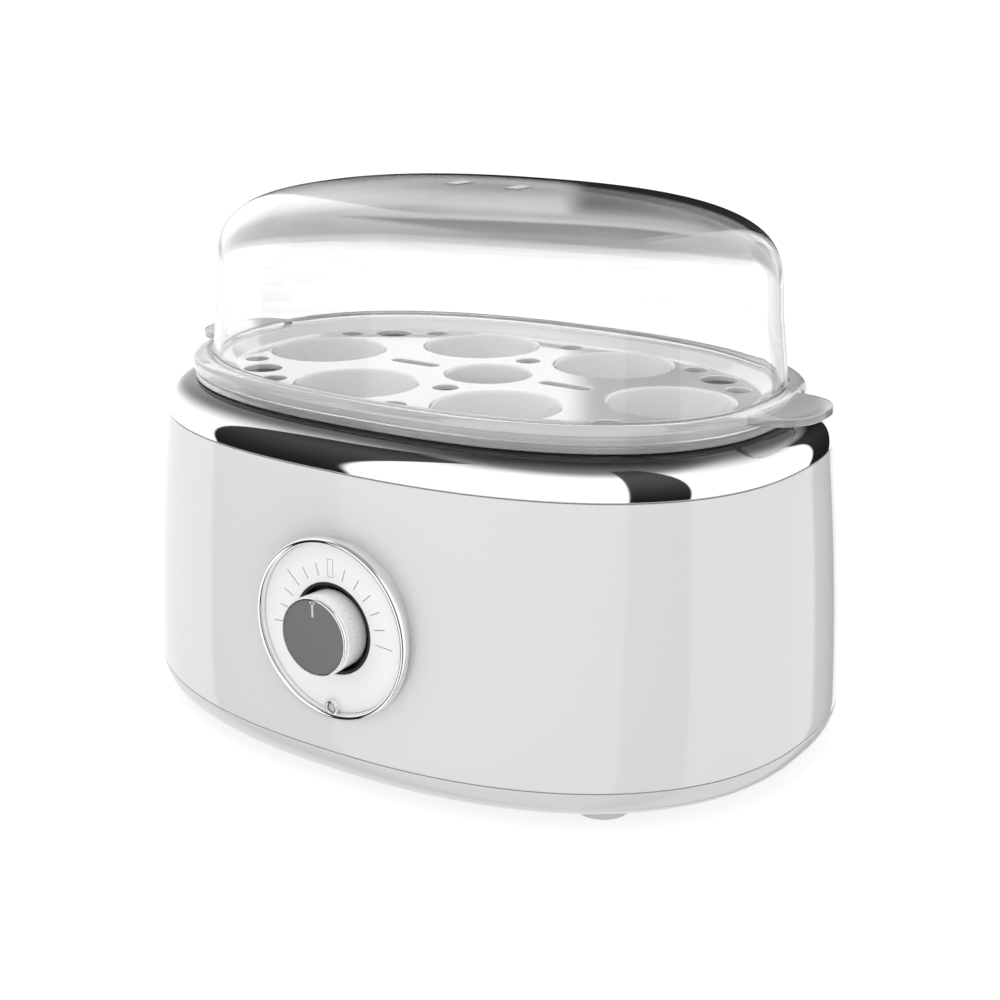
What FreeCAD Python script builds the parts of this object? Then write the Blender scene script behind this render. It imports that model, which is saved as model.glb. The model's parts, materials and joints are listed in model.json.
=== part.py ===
import FreeCAD, Part

import math
import os

from FreeCAD import Vector

# Egg cooker, in millimetres.  +X is the long axis, the dial looks along -Y, +Z is up.
# Everything is drawn about the body's own middle axis and is moved along +Y when it is
# written, so that the origin is the middle of the underside of the bounding box.

# ---- overall sizes -------------------------------------------------------------------
SEAM_GAP = 0.3                  # open line between two shells that meet edge to edge
LOOSE_GAP = 0.3                 # clearance round everything that lifts off
FOOT_HEIGHT = 2.7               # floor to the underside of the base pan
BASE_TOP = 12.6                 # seam between base pan and housing
HOUSING_TOP = 98.2              # seam between housing and chrome cover
COVER_TOP = 109.7               # flat top of the chrome cover
PLATE_TOP = 113.0               # face of the egg plate
LID_TOP = 174.8                 # crown of the lid

# half length, half width and roundness of the plan ovals
BASE_OVAL = (120.1, 90.6, 2.32)
MIDDLE_OVAL = (117.9, 86.8, 2.38)
SHOULDER_OVAL = (113.8, 81.0, 2.45)
SIDE_MIDDLE_Z = 55.0            # height at which MIDDLE_OVAL is measured

WALL = 2.4                      # moulded shells
PAN_WALL = 2.2
LID_WALL = 2.1
SHEET = 1.2                     # pressed metal

# ---- rim of the cooker: dish, carrier and lid, one inside the other -------------------
RIM_OVAL = (105.0, 71.9, 2.45)  # outer edge of the carrier's flange
APERTURE_INSET = 6.5            # cover's opening, measured in from RIM_OVAL
CARRIER_FLANGE = (110.0, 112.2)
CARRIER_LIP_TOP = 114.1
CARRIER_SPIGOT_BOTTOM = 108.2
PLATE_FLAT_OVAL = (91.5, 58.0, 2.45)
PLATE_THICKNESS = 1.8
PLATE_LIP = (114.1, 115.7)
LID_RIM = (112.5, 115.8, 117.8)  # underside, outer corner, top
LID_POCKET_TOP = 116.2
LID_OVAL = (100.9, 66.9, 2.3)
LID_DRAFT = 0.11                # how much the lid's wall leans in, per unit of height
LID_SHOULDER_Z = 143.0
LID_ROUNDNESS = 3.45            # power of the curve from wall to roof
EAR_TIP = 119.8
EAR_HALF_WIDTH = 18.0
EAR_Z = (114.5, 117.0)
VENT_X = 11.5
VENT_SIZE = (5.0, 8.5)

# ---- holes in the egg plate ----------------------------------------------------------
CUP_RADIUS = 20.0
CUP_DEPTH = 12.0
CUP_TAPER = 4.0                 # how much narrower a cup is at its foot
CUP_WALL = 1.6
END_CUP_X = 68.2
SIDE_CUP = (27.35, 34.8)
CENTRE_CUP = (14.2, 7.0, 1.4)   # radius, depth, taper
STEAM_HOLES = ((78.8, 25.9, 4.0), (67.0, 35.5, 6.25), (53.8, 44.5, 4.0))
MID_HOLES = (23.7, 50.9)        # on the short axis
MID_HOLE_RADIUS = 4.1
SLOT = (20.5, 39.5, 2.5)        # from, to and half width, on the long axis

# ---- dish and heater -----------------------------------------------------------------
SHELF_TOP = 105.5               # ledge of the cover that carries the dish
SHELF_INSET = 11.6
SEAL_THICKNESS = 1.0
DISH_MOUTH_INSET = 13.4
DISH_FOOT_INSET = 19.0
DISH_FLOOR = 87.2
SPREADER_OVAL = (76.0, 44.0, 2.4)
SPREADER_THICKNESS = 3.0
HEATER_TUBE = 3.2
HEATER_HALF_RUN = 32.0
HEATER_BEND = 29.0
STUD_PLACES = ((-64.0, -21.0), (-64.0, 21.0), (64.0, -21.0), (64.0, 21.0))
THERMOSTAT_X = -14.0
SHIELD_OVAL = (80.0, 50.0, 2.4)
SHIELD_Z = 66.0

# ---- dial and knob -------------------------------------------------------------------
DIAL_X = 4.0
DIAL_Z = 51.9
DIAL_FACE_Y = -88.2
DIAL_PLATE_Y = -86.8            # back of the dial face
DIAL_FLANGE_Y = -78.0           # front of the dial cup's screw flange
BEZEL_FRONT_Y = -90.5
BEZEL_RADIUS = 28.8
BEZEL_DEPTH = 2.6               # of its widest part
BEZEL_NECK_RADIUS = 27.6        # between that and the housing
BEZEL_INNER = 26.8
DIAL_RADIUS = 26.6
WELL_RADIUS = 14.4
KNOB_RADIUS = 12.4
KNOB_FRONT_Y = -97.0
KNOB_BACK_Y = -86.6
KNOB_EDGE = 0.8                 # width of the bright ring round the knob's face
KNOB_RING_DEPTH = 2.0           # and how far back it reaches
KNOB_RING_BACK_Y = KNOB_FRONT_Y + KNOB_RING_DEPTH
SHAFT_RADIUS = 3.0
SHAFT_RUNNING_GAP = 0.05
DIAL_SCREW_REACH = 31.5
LENS_DROP = 25.2                # lamp, straight below the knob
LENS_RADIUS = 1.5
LENS_DOME_RADIUS = 1.9
ARCH_RADIUS = 2.3               # bezel's small arch round the lamp
REGULATOR_Y = (-75.8, -58.5)

# ---- fixings, inlet and board --------------------------------------------------------
POST_PLACE = (78.7, 53.7)
POST_RADIUS = 3.9
SCREW_RADIUS = 1.75
SCREW_SEAT = FOOT_HEIGHT + 4.2  # under the heads of the four base screws
SCREW_WELL_RADIUS = 3.6
SMALL_PILOT = 1.25              # hole for the clamp, board and dial screws
FOOT_RADIUS = 9.5
INLET_X = -58.0
INLET_Z = 30.0
INLET_BORE = 3.6
INLET_RADIUS = 6.2
CLAMP_Y = 66.0
CLAMP_Z = 22.0
CLAMP_SCREW_X = 11.0            # each side of the inlet
BOARD_CORNER = (8.0, -8.0, 15.0)
BOARD_SIZE = (62.0, 46.0, 1.6)
BOARD_HOLE_INSET = 4.0
COOLING_SLOTS = (7, -24.0, 8.0, 3.0)    # how many, first x, pitch, width

BODY_SHIFT_Y = (abs(KNOB_FRONT_Y) - BASE_OVAL[1]) / 2


# ---- outlines and simple solids ------------------------------------------------------
def oval_wire(a, b, power, z, count=24):
    """Closed superellipse |x/a|^power + |y/b|^power = 1 at height z."""
    points = []
    for i in range(count):
        angle = 2 * math.pi * i / count
        c = math.cos(angle)
        s = math.sin(angle)
        x = a * math.copysign(abs(c) ** (2 / power), c)
        y = b * math.copysign(abs(s) ** (2 / power), s)
        points.append(Vector(x, y, z))
    curve = Part.BSplineCurve()
    curve.interpolate(points, PeriodicFlag=True)
    return Part.Wire([curve.toShape()])


def inset(oval, distance):
    return (oval[0] - distance, oval[1] - distance, oval[2])


def blend(low, high, share):
    return tuple(p + (q - p) * share for p, q in zip(low, high))


def oval_loft(sections):
    """Solid through (oval, z) sections, smooth from one to the next."""
    wires = [oval_wire(*oval, z) for oval, z in sections]
    return Part.makeLoft(wires, True, len(wires) == 2)


def oval_prism(oval, low, high):
    face = Part.Face(oval_wire(*oval, low))
    return face.extrude(Vector(0, 0, high - low))


def oval_ring(outer, inner, low, high):
    return oval_prism(outer, low, high).cut(oval_prism(inner, low - 1, high + 1))


def rod(x, y, low, high, radius):
    """Upright cylinder."""
    return Part.makeCylinder(radius, high - low, Vector(x, y, low))


def tube(x, y, low, high, radius, bore):
    return rod(x, y, low, high, radius).cut(rod(x, y, low - 1, high + 1, bore))


def barrel(x, z, front, back, radius):
    """Cylinder along Y, from y = front to y = back."""
    return Part.makeCylinder(radius, back - front, Vector(x, front, z), Vector(0, 1, 0))


def dial_barrel(front, back, radius):
    return barrel(DIAL_X, DIAL_Z, front, back, radius)


def dial_cone(front, back, front_radius, back_radius):
    base = Vector(DIAL_X, front, DIAL_Z)
    return Part.makeCone(front_radius, back_radius, back - front, base, Vector(0, 1, 0))


def block(low, high):
    size = [q - p for p, q in zip(low, high)]
    return Part.makeBox(*size, Vector(*low))


def fuse(shapes):
    first, *rest = shapes
    return first.fuse(rest) if rest else first


def separate(shapes):
    """Bodies that do not touch, kept as one shape."""
    return Part.makeCompound(shapes)


def corners(x, y):
    return [(sx * x, sy * y) for sx in (-1, 1) for sy in (-1, 1)]


def side_section(z):
    """Outer plan of the body at height z: three ovals joined by one parabola."""
    span = HOUSING_TOP - BASE_TOP
    t = (z - BASE_TOP) / span
    m = (SIDE_MIDDLE_Z - BASE_TOP) / span
    low = (t - m) * (t - 1) / m
    mid = t * (t - 1) / (m * (m - 1))
    top = t * (t - m) / (1 - m)
    ovals = zip(BASE_OVAL, MIDDLE_OVAL, SHOULDER_OVAL)
    return tuple(low * p + mid * q + top * r for p, q, r in ovals)


def side_solid(low, high, distance):
    """Body-shaped plug, set in from the outer face by distance."""
    steps = [low, low + (high - low) / 3, low + 2 * (high - low) / 3, high]
    return oval_loft([(inset(side_section(z), distance), z) for z in steps])


def wall_y(x, z, distance):
    """y of the front wall at (x, z), set in from the outer face by distance."""
    a, b, power = inset(side_section(z), distance)
    return -b * (1 - abs(x / a) ** power) ** (1 / power)


# ---- shells --------------------------------------------------------------------------
def base_pan():
    depth = BASE_TOP - FOOT_HEIGHT - SEAM_GAP / 2
    outer = []
    inner = []
    for step in range(7):
        angle = math.radians(90 * step / 6)
        drop = 9.0 * (1 - math.cos(angle))
        z = FOOT_HEIGHT + depth * (1 - math.sin(angle))
        outer.append((inset(BASE_OVAL, drop), z))
        inner.append((inset(BASE_OVAL, drop + PAN_WALL), z + PAN_WALL))
    shell = oval_loft(outer[::-1]).cut(oval_loft(inner[::-1]))
    lip_bottom = BASE_TOP - 4.0
    lip_top = BASE_TOP + 5.0
    lip_outer = WALL + SEAM_GAP
    lip = side_solid(BASE_TOP - 1, lip_top, lip_outer)
    lip = lip.cut(side_solid(BASE_TOP - 2, lip_top + 1, lip_outer + 1.6))
    ledge = oval_ring(inset(BASE_OVAL, 1.3), inset(BASE_OVAL, lip_outer + 2.6),
                      lip_bottom, BASE_TOP - SEAM_GAP / 2)
    pieces = [shell, ledge, lip]
    boss_low = FOOT_HEIGHT + 0.5
    pilot_low = FOOT_HEIGHT + 5
    board_low = BOARD_CORNER[2]
    for x, y in corners(*POST_PLACE):
        pieces.append(rod(x, y, boss_low, BASE_TOP, 6.0))
    for x, y in board_corners():
        pieces.append(rod(x, y, boss_low, board_low, 3.2))
    for x in clamp_screw_places():
        pieces.append(rod(x, CLAMP_Y, boss_low, CLAMP_Z, 3.6))
    pan = fuse(pieces)
    for x, y in corners(*POST_PLACE):
        pan = pan.cut(rod(x, y, 0, BASE_TOP + 2, SCREW_RADIUS + 0.3))
        pan = pan.cut(rod(x, y, 0, SCREW_SEAT, SCREW_WELL_RADIUS))
    for x, y in board_corners():
        pan = pan.cut(rod(x, y, pilot_low, board_low + 1, SMALL_PILOT))
    for x in clamp_screw_places():
        pan = pan.cut(rod(x, CLAMP_Y, pilot_low, CLAMP_Z + 1, SMALL_PILOT))
    return pan.cut(vent_slots())


def vent_slots():
    """Cooling slots through the base pan's floor, below the board."""
    count, first, pitch, width = COOLING_SLOTS
    slots = []
    for i in range(count):
        x = first + pitch * i
        slots.append(block((x, 46.0, 0), (x + width, 62.0, FOOT_HEIGHT + 4)))
    return separate(slots)


def outer_housing():
    low = BASE_TOP + SEAM_GAP / 2
    high = HOUSING_TOP - SEAM_GAP / 2
    shell = side_solid(low, high, 0).cut(side_solid(low - 1, high + 1, WALL))
    bosses = []
    for x, z in dial_screw_places():
        bosses.append(barrel(x, z, wall_y(x, z, WALL / 2), DIAL_FLANGE_Y, 3.2))
    shell = fuse([shell] + bosses)
    shell = shell.cut(dial_barrel(-95, -70, DIAL_RADIUS + 0.2))
    for x, z in dial_screw_places():
        start = wall_y(x, z, WALL - 0.6)
        shell = shell.cut(barrel(x, z, start, DIAL_FLANGE_Y + 1, SMALL_PILOT))
    return shell.cut(barrel(INLET_X, INLET_Z, 60, 100, INLET_RADIUS + 0.1))


def cover_profile(thickness):
    """Quarter-round shoulder of the chrome cover, as (oval, z) sections."""
    low = HOUSING_TOP + SEAM_GAP / 2
    top_oval = inset(RIM_OVAL, 1.0)
    sections = []
    for step in range(7):
        angle = math.radians(90 * step / 6)
        share = 1 - math.cos(angle)
        oval = inset(blend(SHOULDER_OVAL, top_oval, share), thickness)
        z = low + (COVER_TOP - thickness - low) * math.sin(angle)
        sections.append((oval, z))
    return sections


def chrome_cover():
    thickness = 1.8
    low = HOUSING_TOP + SEAM_GAP / 2
    lip_low = HOUSING_TOP - 5
    aperture = inset(RIM_OVAL, APERTURE_INSET)
    lip_outer = inset(side_section(lip_low), WALL + SEAM_GAP)
    lip_inner = inset(lip_outer, 1.6)
    body = oval_loft(cover_profile(0)).fuse(oval_prism(lip_outer, lip_low, low))
    shelf_low = SHELF_TOP - thickness
    body = body.cut(oval_prism(lip_inner, lip_low - 1, shelf_low - 2.2))
    body = body.cut(oval_ring(lip_inner, inset(aperture, -thickness),
                              shelf_low - 2.3, shelf_low + 2))
    body = body.cut(oval_prism(inset(RIM_OVAL, SHELF_INSET), lip_low, COVER_TOP + 1))
    body = body.cut(oval_prism(aperture, SHELF_TOP, COVER_TOP + 1))
    pieces = [body]
    for x, y in corners(*POST_PLACE):
        pieces.append(rod(x, y, BASE_TOP + 0.2, COVER_TOP - 2.2, POST_RADIUS))
        pieces.append(rib(x, y, x * 1.07, y * 1.07, lip_low, low + 2.5))
    cover = fuse(pieces)
    for x, y in corners(*POST_PLACE):
        cover = cover.cut(rod(x, y, BASE_TOP - 1, BASE_TOP + 18, SCREW_RADIUS + 0.02))
    return cover


def rib(x0, y0, x1, y1, low, high, half=1.0):
    """Upright rib from one plan point to another."""
    along = Vector(x1 - x0, y1 - y0, 0)
    side = Vector(-along.y, along.x, 0).normalize() * half
    start = Vector(x0, y0, low)
    end = start + along
    outline = [start + side, end + side, end - side, start - side, start + side]
    return Part.Face(Part.makePolygon(outline)).extrude(Vector(0, 0, high - low))


# ---- dish, seal and heater -----------------------------------------------------------
def heating_dish():
    rim_low = SHELF_TOP + SEAL_THICKNESS
    rim_top = rim_low + SHEET
    outer = []
    inner = []
    for step in range(6):
        share = step / 5
        drop = DISH_MOUTH_INSET + (DISH_FOOT_INSET - DISH_MOUTH_INSET) * share ** 3
        z = rim_top - (rim_top - DISH_FLOOR) * math.sin(math.pi / 2 * share)
        inner.append((inset(RIM_OVAL, drop), z))
        outer.append((inset(RIM_OVAL, drop - SHEET), z - SHEET * share))
    basin = oval_loft(outer[::-1]).cut(oval_loft(inner[::-1]))
    rim = oval_ring(inset(RIM_OVAL, APERTURE_INSET + 0.3), inset(RIM_OVAL, DISH_MOUTH_INSET - 0.6),
                    rim_low, rim_top)
    return fuse([basin, rim])


def dish_seal():
    return oval_ring(inset(RIM_OVAL, APERTURE_INSET + 0.6), inset(RIM_OVAL, SHELF_INSET - 0.4),
                     SHELF_TOP, SHELF_TOP + SEAL_THICKNESS)


def spreader_levels():
    top = DISH_FLOOR - SHEET
    return top - SPREADER_THICKNESS, top


def heat_spreader():
    low, top = spreader_levels()
    plate = oval_prism(SPREADER_OVAL, low, top)
    studs = [rod(x, y, SHIELD_Z - 8, low + 1, 2.0) for x, y in STUD_PLACES]
    return fuse([plate] + studs)


def heating_element():
    """Sheathed tube in a long loop, its two ends turned down at the back."""
    z = spreader_levels()[0] - HEATER_TUBE
    run = HEATER_HALF_RUN
    bend = HEATER_BEND
    gap = 7.0
    right = Part.Arc(Vector(run, -bend, z), Vector(run + bend, 0, z), Vector(run, bend, z))
    left = Part.Arc(Vector(-run, bend, z), Vector(-run - bend, 0, z), Vector(-run, -bend, z))
    edges = [
        Part.LineSegment(Vector(gap, bend, z), Vector(run, bend, z)).toShape(),
        right.toShape(),
        Part.LineSegment(Vector(run, -bend, z), Vector(-run, -bend, z)).toShape(),
        left.toShape(),
        Part.LineSegment(Vector(-run, bend, z), Vector(-gap, bend, z)).toShape(),
    ]
    path = Part.Wire(Part.__sortEdges__(edges))
    start = path.OrderedVertexes[0].Point
    profile = Part.Wire([Part.makeCircle(HEATER_TUBE, start, Vector(1, 0, 0))])
    loop = path.makePipeShell([profile], True, False)
    ends = []
    for x in (-gap, gap):
        ends.append(rod(x, bend, z - 14, z, HEATER_TUBE - 0.6))
        ends.append(Part.makeSphere(HEATER_TUBE, Vector(x, bend, z)))
    return fuse([loop] + ends)


def boil_dry_thermostat():
    low = spreader_levels()[0]
    x = THERMOSTAT_X
    body = fuse([rod(x, 0, low - 5, low, 8.0), rod(x, 0, low - 11, low - 5, 6.6)])
    blades = []
    for dx in (-4.0, 4.0):
        blades.append(block((x + dx - 0.4, -3.1, low - 17), (x + dx + 0.4, 3.1, low - 11)))
    return fuse([body] + blades)


def thermal_fuse():
    low = spreader_levels()[0]
    z = low - 2.6
    capsule = Part.makeCylinder(2.2, 12, Vector(12, 0, z), Vector(1, 0, 0))
    leads = Part.makeCylinder(0.6, 22, Vector(7, 0, z), Vector(1, 0, 0))
    return fuse([capsule, leads])


def fuse_clip():
    """Strap over the thermal fuse, clamped to the spreader at both feet."""
    low = spreader_levels()[0]
    z = low - 2.6
    strap = Part.makeCylinder(3.2, 6, Vector(15, 0, z), Vector(1, 0, 0))
    strap = strap.cut(Part.makeCylinder(2.25, 8, Vector(14, 0, z), Vector(1, 0, 0)))
    strap = strap.cut(block((14, -4, z), (22, 4, low + 1)))
    walls = [block((15, y, z - 0.1), (21, y + 0.95, low)) for y in (-3.2, 2.25)]
    feet = [block((15, y, low - 0.9), (21, y + 6, low)) for y in (-9.2, 3.2)]
    return fuse([strap] + walls + feet)


def heat_shield():
    plate = oval_prism(SHIELD_OVAL, SHIELD_Z, SHIELD_Z + 0.8)
    hem = oval_ring(SHIELD_OVAL, inset(SHIELD_OVAL, 0.8), SHIELD_Z, SHIELD_Z + 7)
    shield = fuse([plate, hem])
    for x, y in STUD_PLACES:
        shield = shield.cut(rod(x, y, SHIELD_Z - 1, SHIELD_Z + 2, 2.3))
    for x in (-7.0, 7.0):
        shield = shield.cut(rod(x, HEATER_BEND, SHIELD_Z - 1, SHIELD_Z + 2, 5.0))
    return shield.cut(rod(THERMOSTAT_X, 0, SHIELD_Z - 1, SHIELD_Z + 2, 9.0))


def shield_spacers():
    low = SHIELD_Z + 0.8
    top = spreader_levels()[0]
    return separate([tube(x, y, low, top, 4.0, 2.15) for x, y in STUD_PLACES])


def shield_nuts():
    nuts = []
    for x, y in STUD_PLACES:
        nuts.append(hexagon(x, y, SHIELD_Z - 3.2, SHIELD_Z, 7.0).cut(
            rod(x, y, SHIELD_Z - 4, SHIELD_Z + 1, 2.0)))
    return separate(nuts)


def hexagon(x, y, low, high, across):
    radius = across / math.sqrt(3)
    points = []
    for i in range(7):
        angle = math.radians(60 * i)
        points.append(Vector(x + radius * math.cos(angle), y + radius * math.sin(angle), low))
    return Part.Face(Part.makePolygon(points)).extrude(Vector(0, 0, high - low))


# ---- dial ----------------------------------------------------------------------------
def dial_screw_places():
    places = []
    for angle in (45, 135, 225, 315):
        x = DIAL_X + DIAL_SCREW_REACH * math.cos(math.radians(angle))
        z = DIAL_Z + DIAL_SCREW_REACH * math.sin(math.radians(angle))
        places.append((x, z))
    return places


def dial_cup():
    """Moulded cup behind the dial face, with the knob's well and a flange for the screws."""
    tube_part = dial_barrel(DIAL_PLATE_Y, DIAL_FLANGE_Y + 2.2, DIAL_RADIUS)
    tube_part = tube_part.cut(dial_barrel(DIAL_PLATE_Y + 2, DIAL_FLANGE_Y + 3, DIAL_RADIUS - 2))
    well_wall = dial_barrel(DIAL_PLATE_Y, -79.5, WELL_RADIUS + 2.2)
    flange = dial_barrel(DIAL_FLANGE_Y, DIAL_FLANGE_Y + 2.2, DIAL_SCREW_REACH + 4)
    flange = flange.cut(dial_barrel(DIAL_FLANGE_Y - 1, DIAL_FLANGE_Y + 3, DIAL_RADIUS - 2))
    floor = dial_barrel(DIAL_FLANGE_Y, DIAL_FLANGE_Y + 2.2, DIAL_RADIUS)
    cup = fuse([tube_part, well_wall, flange, floor])
    cup = cup.cut(dial_barrel(-95, -81.5, WELL_RADIUS + 0.05))
    cup = cup.cut(dial_barrel(-95, -70, 5.2))
    for x, z in dial_screw_places():
        cup = cup.cut(barrel(x, z, -95, -70, SCREW_RADIUS + 0.2))
    return cup


def knob_well():
    """Dark liner of the round recess that the knob turns in."""
    liner = dial_barrel(DIAL_FACE_Y + 0.2, -81.5, WELL_RADIUS)
    liner = liner.cut(dial_barrel(DIAL_FACE_Y - 1, -82.7, WELL_RADIUS - 0.8))
    return liner.cut(dial_barrel(-95, -70, 5.2))


def dial_face():
    face = dial_barrel(DIAL_FACE_Y, DIAL_PLATE_Y, DIAL_RADIUS)
    face = face.cut(dial_barrel(-95, -70, WELL_RADIUS + 0.1))
    return face.cut(barrel(DIAL_X, DIAL_Z - LENS_DROP, -95, -70, LENS_RADIUS + 0.1))


def bezel_ring():
    """Ring round the dial, undercut behind, its back following the housing's curve."""
    front = BEZEL_FRONT_Y
    ring = dial_cone(front, front + 0.8, BEZEL_RADIUS - 0.7, BEZEL_RADIUS)
    ring = ring.fuse(dial_barrel(front + 0.8, front + BEZEL_DEPTH, BEZEL_RADIUS))
    ring = ring.fuse(dial_barrel(front + BEZEL_DEPTH, -81, BEZEL_NECK_RADIUS))
    arch = barrel(DIAL_X, DIAL_Z - LENS_DROP, front + 0.4, DIAL_FACE_Y, ARCH_RADIUS)
    ring = ring.cut(dial_barrel(-95, -70, BEZEL_INNER - 0.15))
    ring = ring.cut(dial_cone(front - 0.2, front + 1.0, BEZEL_INNER + 0.7, BEZEL_INNER - 0.2))
    ring = fuse([ring, arch])
    ring = ring.cut(barrel(DIAL_X, DIAL_Z - LENS_DROP, -95, -70, LENS_RADIUS + 0.1))
    low = BASE_TOP + SEAM_GAP / 2
    return ring.cut(side_solid(low, HOUSING_TOP, 0))


def indicator_lens():
    """Short round window with a domed front."""
    z = DIAL_Z - LENS_DROP
    front = BEZEL_FRONT_Y
    dome = Part.makeSphere(LENS_DOME_RADIUS, Vector(DIAL_X, front + 2.5, z))
    dome = dome.common(barrel(DIAL_X, z, front - 1, front + 2.5, LENS_RADIUS))
    return fuse([dome, barrel(DIAL_X, z, front + 2.4, DIAL_PLATE_Y, LENS_RADIUS)])


def dial_screws():
    screws = []
    for x, z in dial_screw_places():
        shank = barrel(x, z, DIAL_FLANGE_Y - 3.0, DIAL_FLANGE_Y + 2.2, 1.24)
        head = barrel(x, z, DIAL_FLANGE_Y + 2.2, DIAL_FLANGE_Y + 4.2, 2.8)
        cross = block((x - 2, DIAL_FLANGE_Y + 3.2, z - 0.4), (x + 2, DIAL_FLANGE_Y + 5, z + 0.4))
        screws.append(fuse([shank, head]).cut(cross))
    return separate(screws)


def regulator():
    """Rotary timer switch behind the dial, with its threaded neck through the cup."""
    front, back = REGULATOR_Y
    body = block((DIAL_X - 19, front, DIAL_Z - 14), (DIAL_X + 19, back, DIAL_Z + 12))
    neck = dial_barrel(-81.6, front, 5.0)
    tabs = []
    for dx in (-12.0, -4.0, 4.0, 12.0):
        x = DIAL_X + dx
        tabs.append(block((x - 0.4, back, DIAL_Z - 9), (x + 0.4, back + 7, DIAL_Z - 3)))
    whole = fuse([body, neck] + tabs)
    return whole.cut(dial_barrel(-95, front + 9, SHAFT_RADIUS + SHAFT_RUNNING_GAP))


def regulator_nut():
    """Thin round nut that holds the regulator's neck in the floor of the well."""
    nut = dial_barrel(-84.2, -82.7, 8.0)
    return nut.cut(dial_barrel(-95, -70, 5.05))


# ---- knob ----------------------------------------------------------------------------
def control_shaft():
    return dial_barrel(KNOB_RING_BACK_Y + 2.4, REGULATOR_Y[0] + 8.5, SHAFT_RADIUS)


def knob_body():
    edge = KNOB_RING_BACK_Y
    body = dial_cone(edge, KNOB_BACK_Y, KNOB_RADIUS, KNOB_RADIUS + 0.25)
    body = body.cut(dial_barrel(edge - 1, edge + 1.2, KNOB_RADIUS - KNOB_EDGE - 0.05))
    body = body.cut(dial_barrel(edge + 3.6, KNOB_BACK_Y + 1, KNOB_RADIUS - 2))
    hub = dial_barrel(edge + 1.2, KNOB_BACK_Y, 5.6)
    body = fuse([body, hub])
    return body.cut(dial_barrel(edge + 2.4, KNOB_BACK_Y + 1, SHAFT_RADIUS))


def knob_trim_ring():
    ring = dial_cone(KNOB_FRONT_Y, KNOB_RING_BACK_Y, KNOB_RADIUS - 0.45, KNOB_RADIUS)
    return ring.cut(dial_barrel(KNOB_FRONT_Y - 1, KNOB_RING_BACK_Y + 1, KNOB_RADIUS - KNOB_EDGE))


def knob_cap():
    front = KNOB_FRONT_Y + 0.2
    cap = dial_barrel(front, KNOB_RING_BACK_Y + 1.2, KNOB_RADIUS - KNOB_EDGE - 0.05)
    return cap.cut(pointer_block(front - 1, front + 0.6, 0))


def pointer_block(front, back, grow):
    low = (DIAL_X - 0.45 - grow, front, DIAL_Z + 6.2 - grow)
    high = (DIAL_X + 0.45 + grow, back, DIAL_Z + 11.0 + grow)
    return block(low, high)


def knob_pointer():
    return pointer_block(KNOB_FRONT_Y + 0.15, KNOB_FRONT_Y + 0.8, -0.02)


# ---- egg tray ------------------------------------------------------------------------
def tray_carrier():
    wall = 1.8
    spigot_outer = inset(RIM_OVAL, APERTURE_INSET + LOOSE_GAP)
    inner = inset(spigot_outer, wall)
    lip_outer = inset(RIM_OVAL, 4.6)
    whole = oval_prism(RIM_OVAL, *CARRIER_FLANGE)
    whole = whole.fuse(oval_prism(lip_outer, CARRIER_FLANGE[1], CARRIER_LIP_TOP))
    whole = whole.fuse(oval_prism(spigot_outer, CARRIER_SPIGOT_BOTTOM, CARRIER_FLANGE[0]))
    whole = whole.cut(oval_prism(inset(lip_outer, wall), CARRIER_FLANGE[1], CARRIER_LIP_TOP + 1))
    return whole.cut(oval_prism(inner, CARRIER_SPIGOT_BOTTOM - 1, CARRIER_LIP_TOP + 1))


def cup_places():
    places = [(-END_CUP_X, 0.0), (END_CUP_X, 0.0)]
    return places + corners(*SIDE_CUP)


def cup(x, y, radius, depth, taper):
    """Outer body of one egg cup, and the opening that goes right through it."""
    foot = PLATE_TOP - depth
    at_foot = Vector(x, y, foot)
    outer = Part.makeCone(radius - taper + CUP_WALL, radius + CUP_WALL, depth, at_foot)
    opening = Part.makeCone(radius - taper, radius, depth, at_foot)
    round_over = Part.makeCone(radius, radius + 1.4, 1.2, Vector(x, y, PLATE_TOP - 1.0))
    below = rod(x, y, foot - 1, foot + 0.1, radius - taper)
    above = rod(x, y, PLATE_TOP, PLATE_TOP + 1, radius)
    return outer, opening.fuse([round_over, below, above])


def egg_plate():
    slope_top = inset(RIM_OVAL, 7.8)
    deck = oval_prism(PLATE_FLAT_OVAL, PLATE_TOP - PLATE_THICKNESS, PLATE_TOP)
    slope = oval_loft([(PLATE_FLAT_OVAL, PLATE_TOP - PLATE_THICKNESS),
                       (slope_top, PLATE_LIP[1])])
    hollow = oval_loft([(inset(PLATE_FLAT_OVAL, 0.2), PLATE_TOP),
                        (inset(slope_top, 1.6), PLATE_LIP[1])])
    lip = oval_ring(inset(RIM_OVAL, 4.5), inset(slope_top, 1.0), *PLATE_LIP)
    cups = [cup(x, y, CUP_RADIUS, CUP_DEPTH, CUP_TAPER) for x, y in cup_places()]
    cups.append(cup(0, 0, *CENTRE_CUP))
    plate = fuse([deck, slope.cut(hollow), lip] + [outer for outer, opening in cups])
    holes = [opening for outer, opening in cups]
    low = PLATE_TOP - PLATE_THICKNESS - 1
    for x, y, radius in STEAM_HOLES:
        for px, py in corners(x, y):
            holes.append(rod(px, py, low, PLATE_TOP + 1, radius))
    for y in MID_HOLES:
        for sign in (-1, 1):
            holes.append(rod(0, sign * y, low, PLATE_TOP + 1, MID_HOLE_RADIUS))
    start, end, half = SLOT
    for sign in (-1, 1):
        for x in (start + half, end - half):
            holes.append(rod(sign * x, 0, low, PLATE_TOP + 1, half))
        xs = sorted((sign * (start + half), sign * (end - half)))
        holes.append(block((xs[0], -half, low), (xs[1], half, PLATE_TOP + 1)))
    for hole in holes:
        plate = plate.cut(hole)
    return plate


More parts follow.
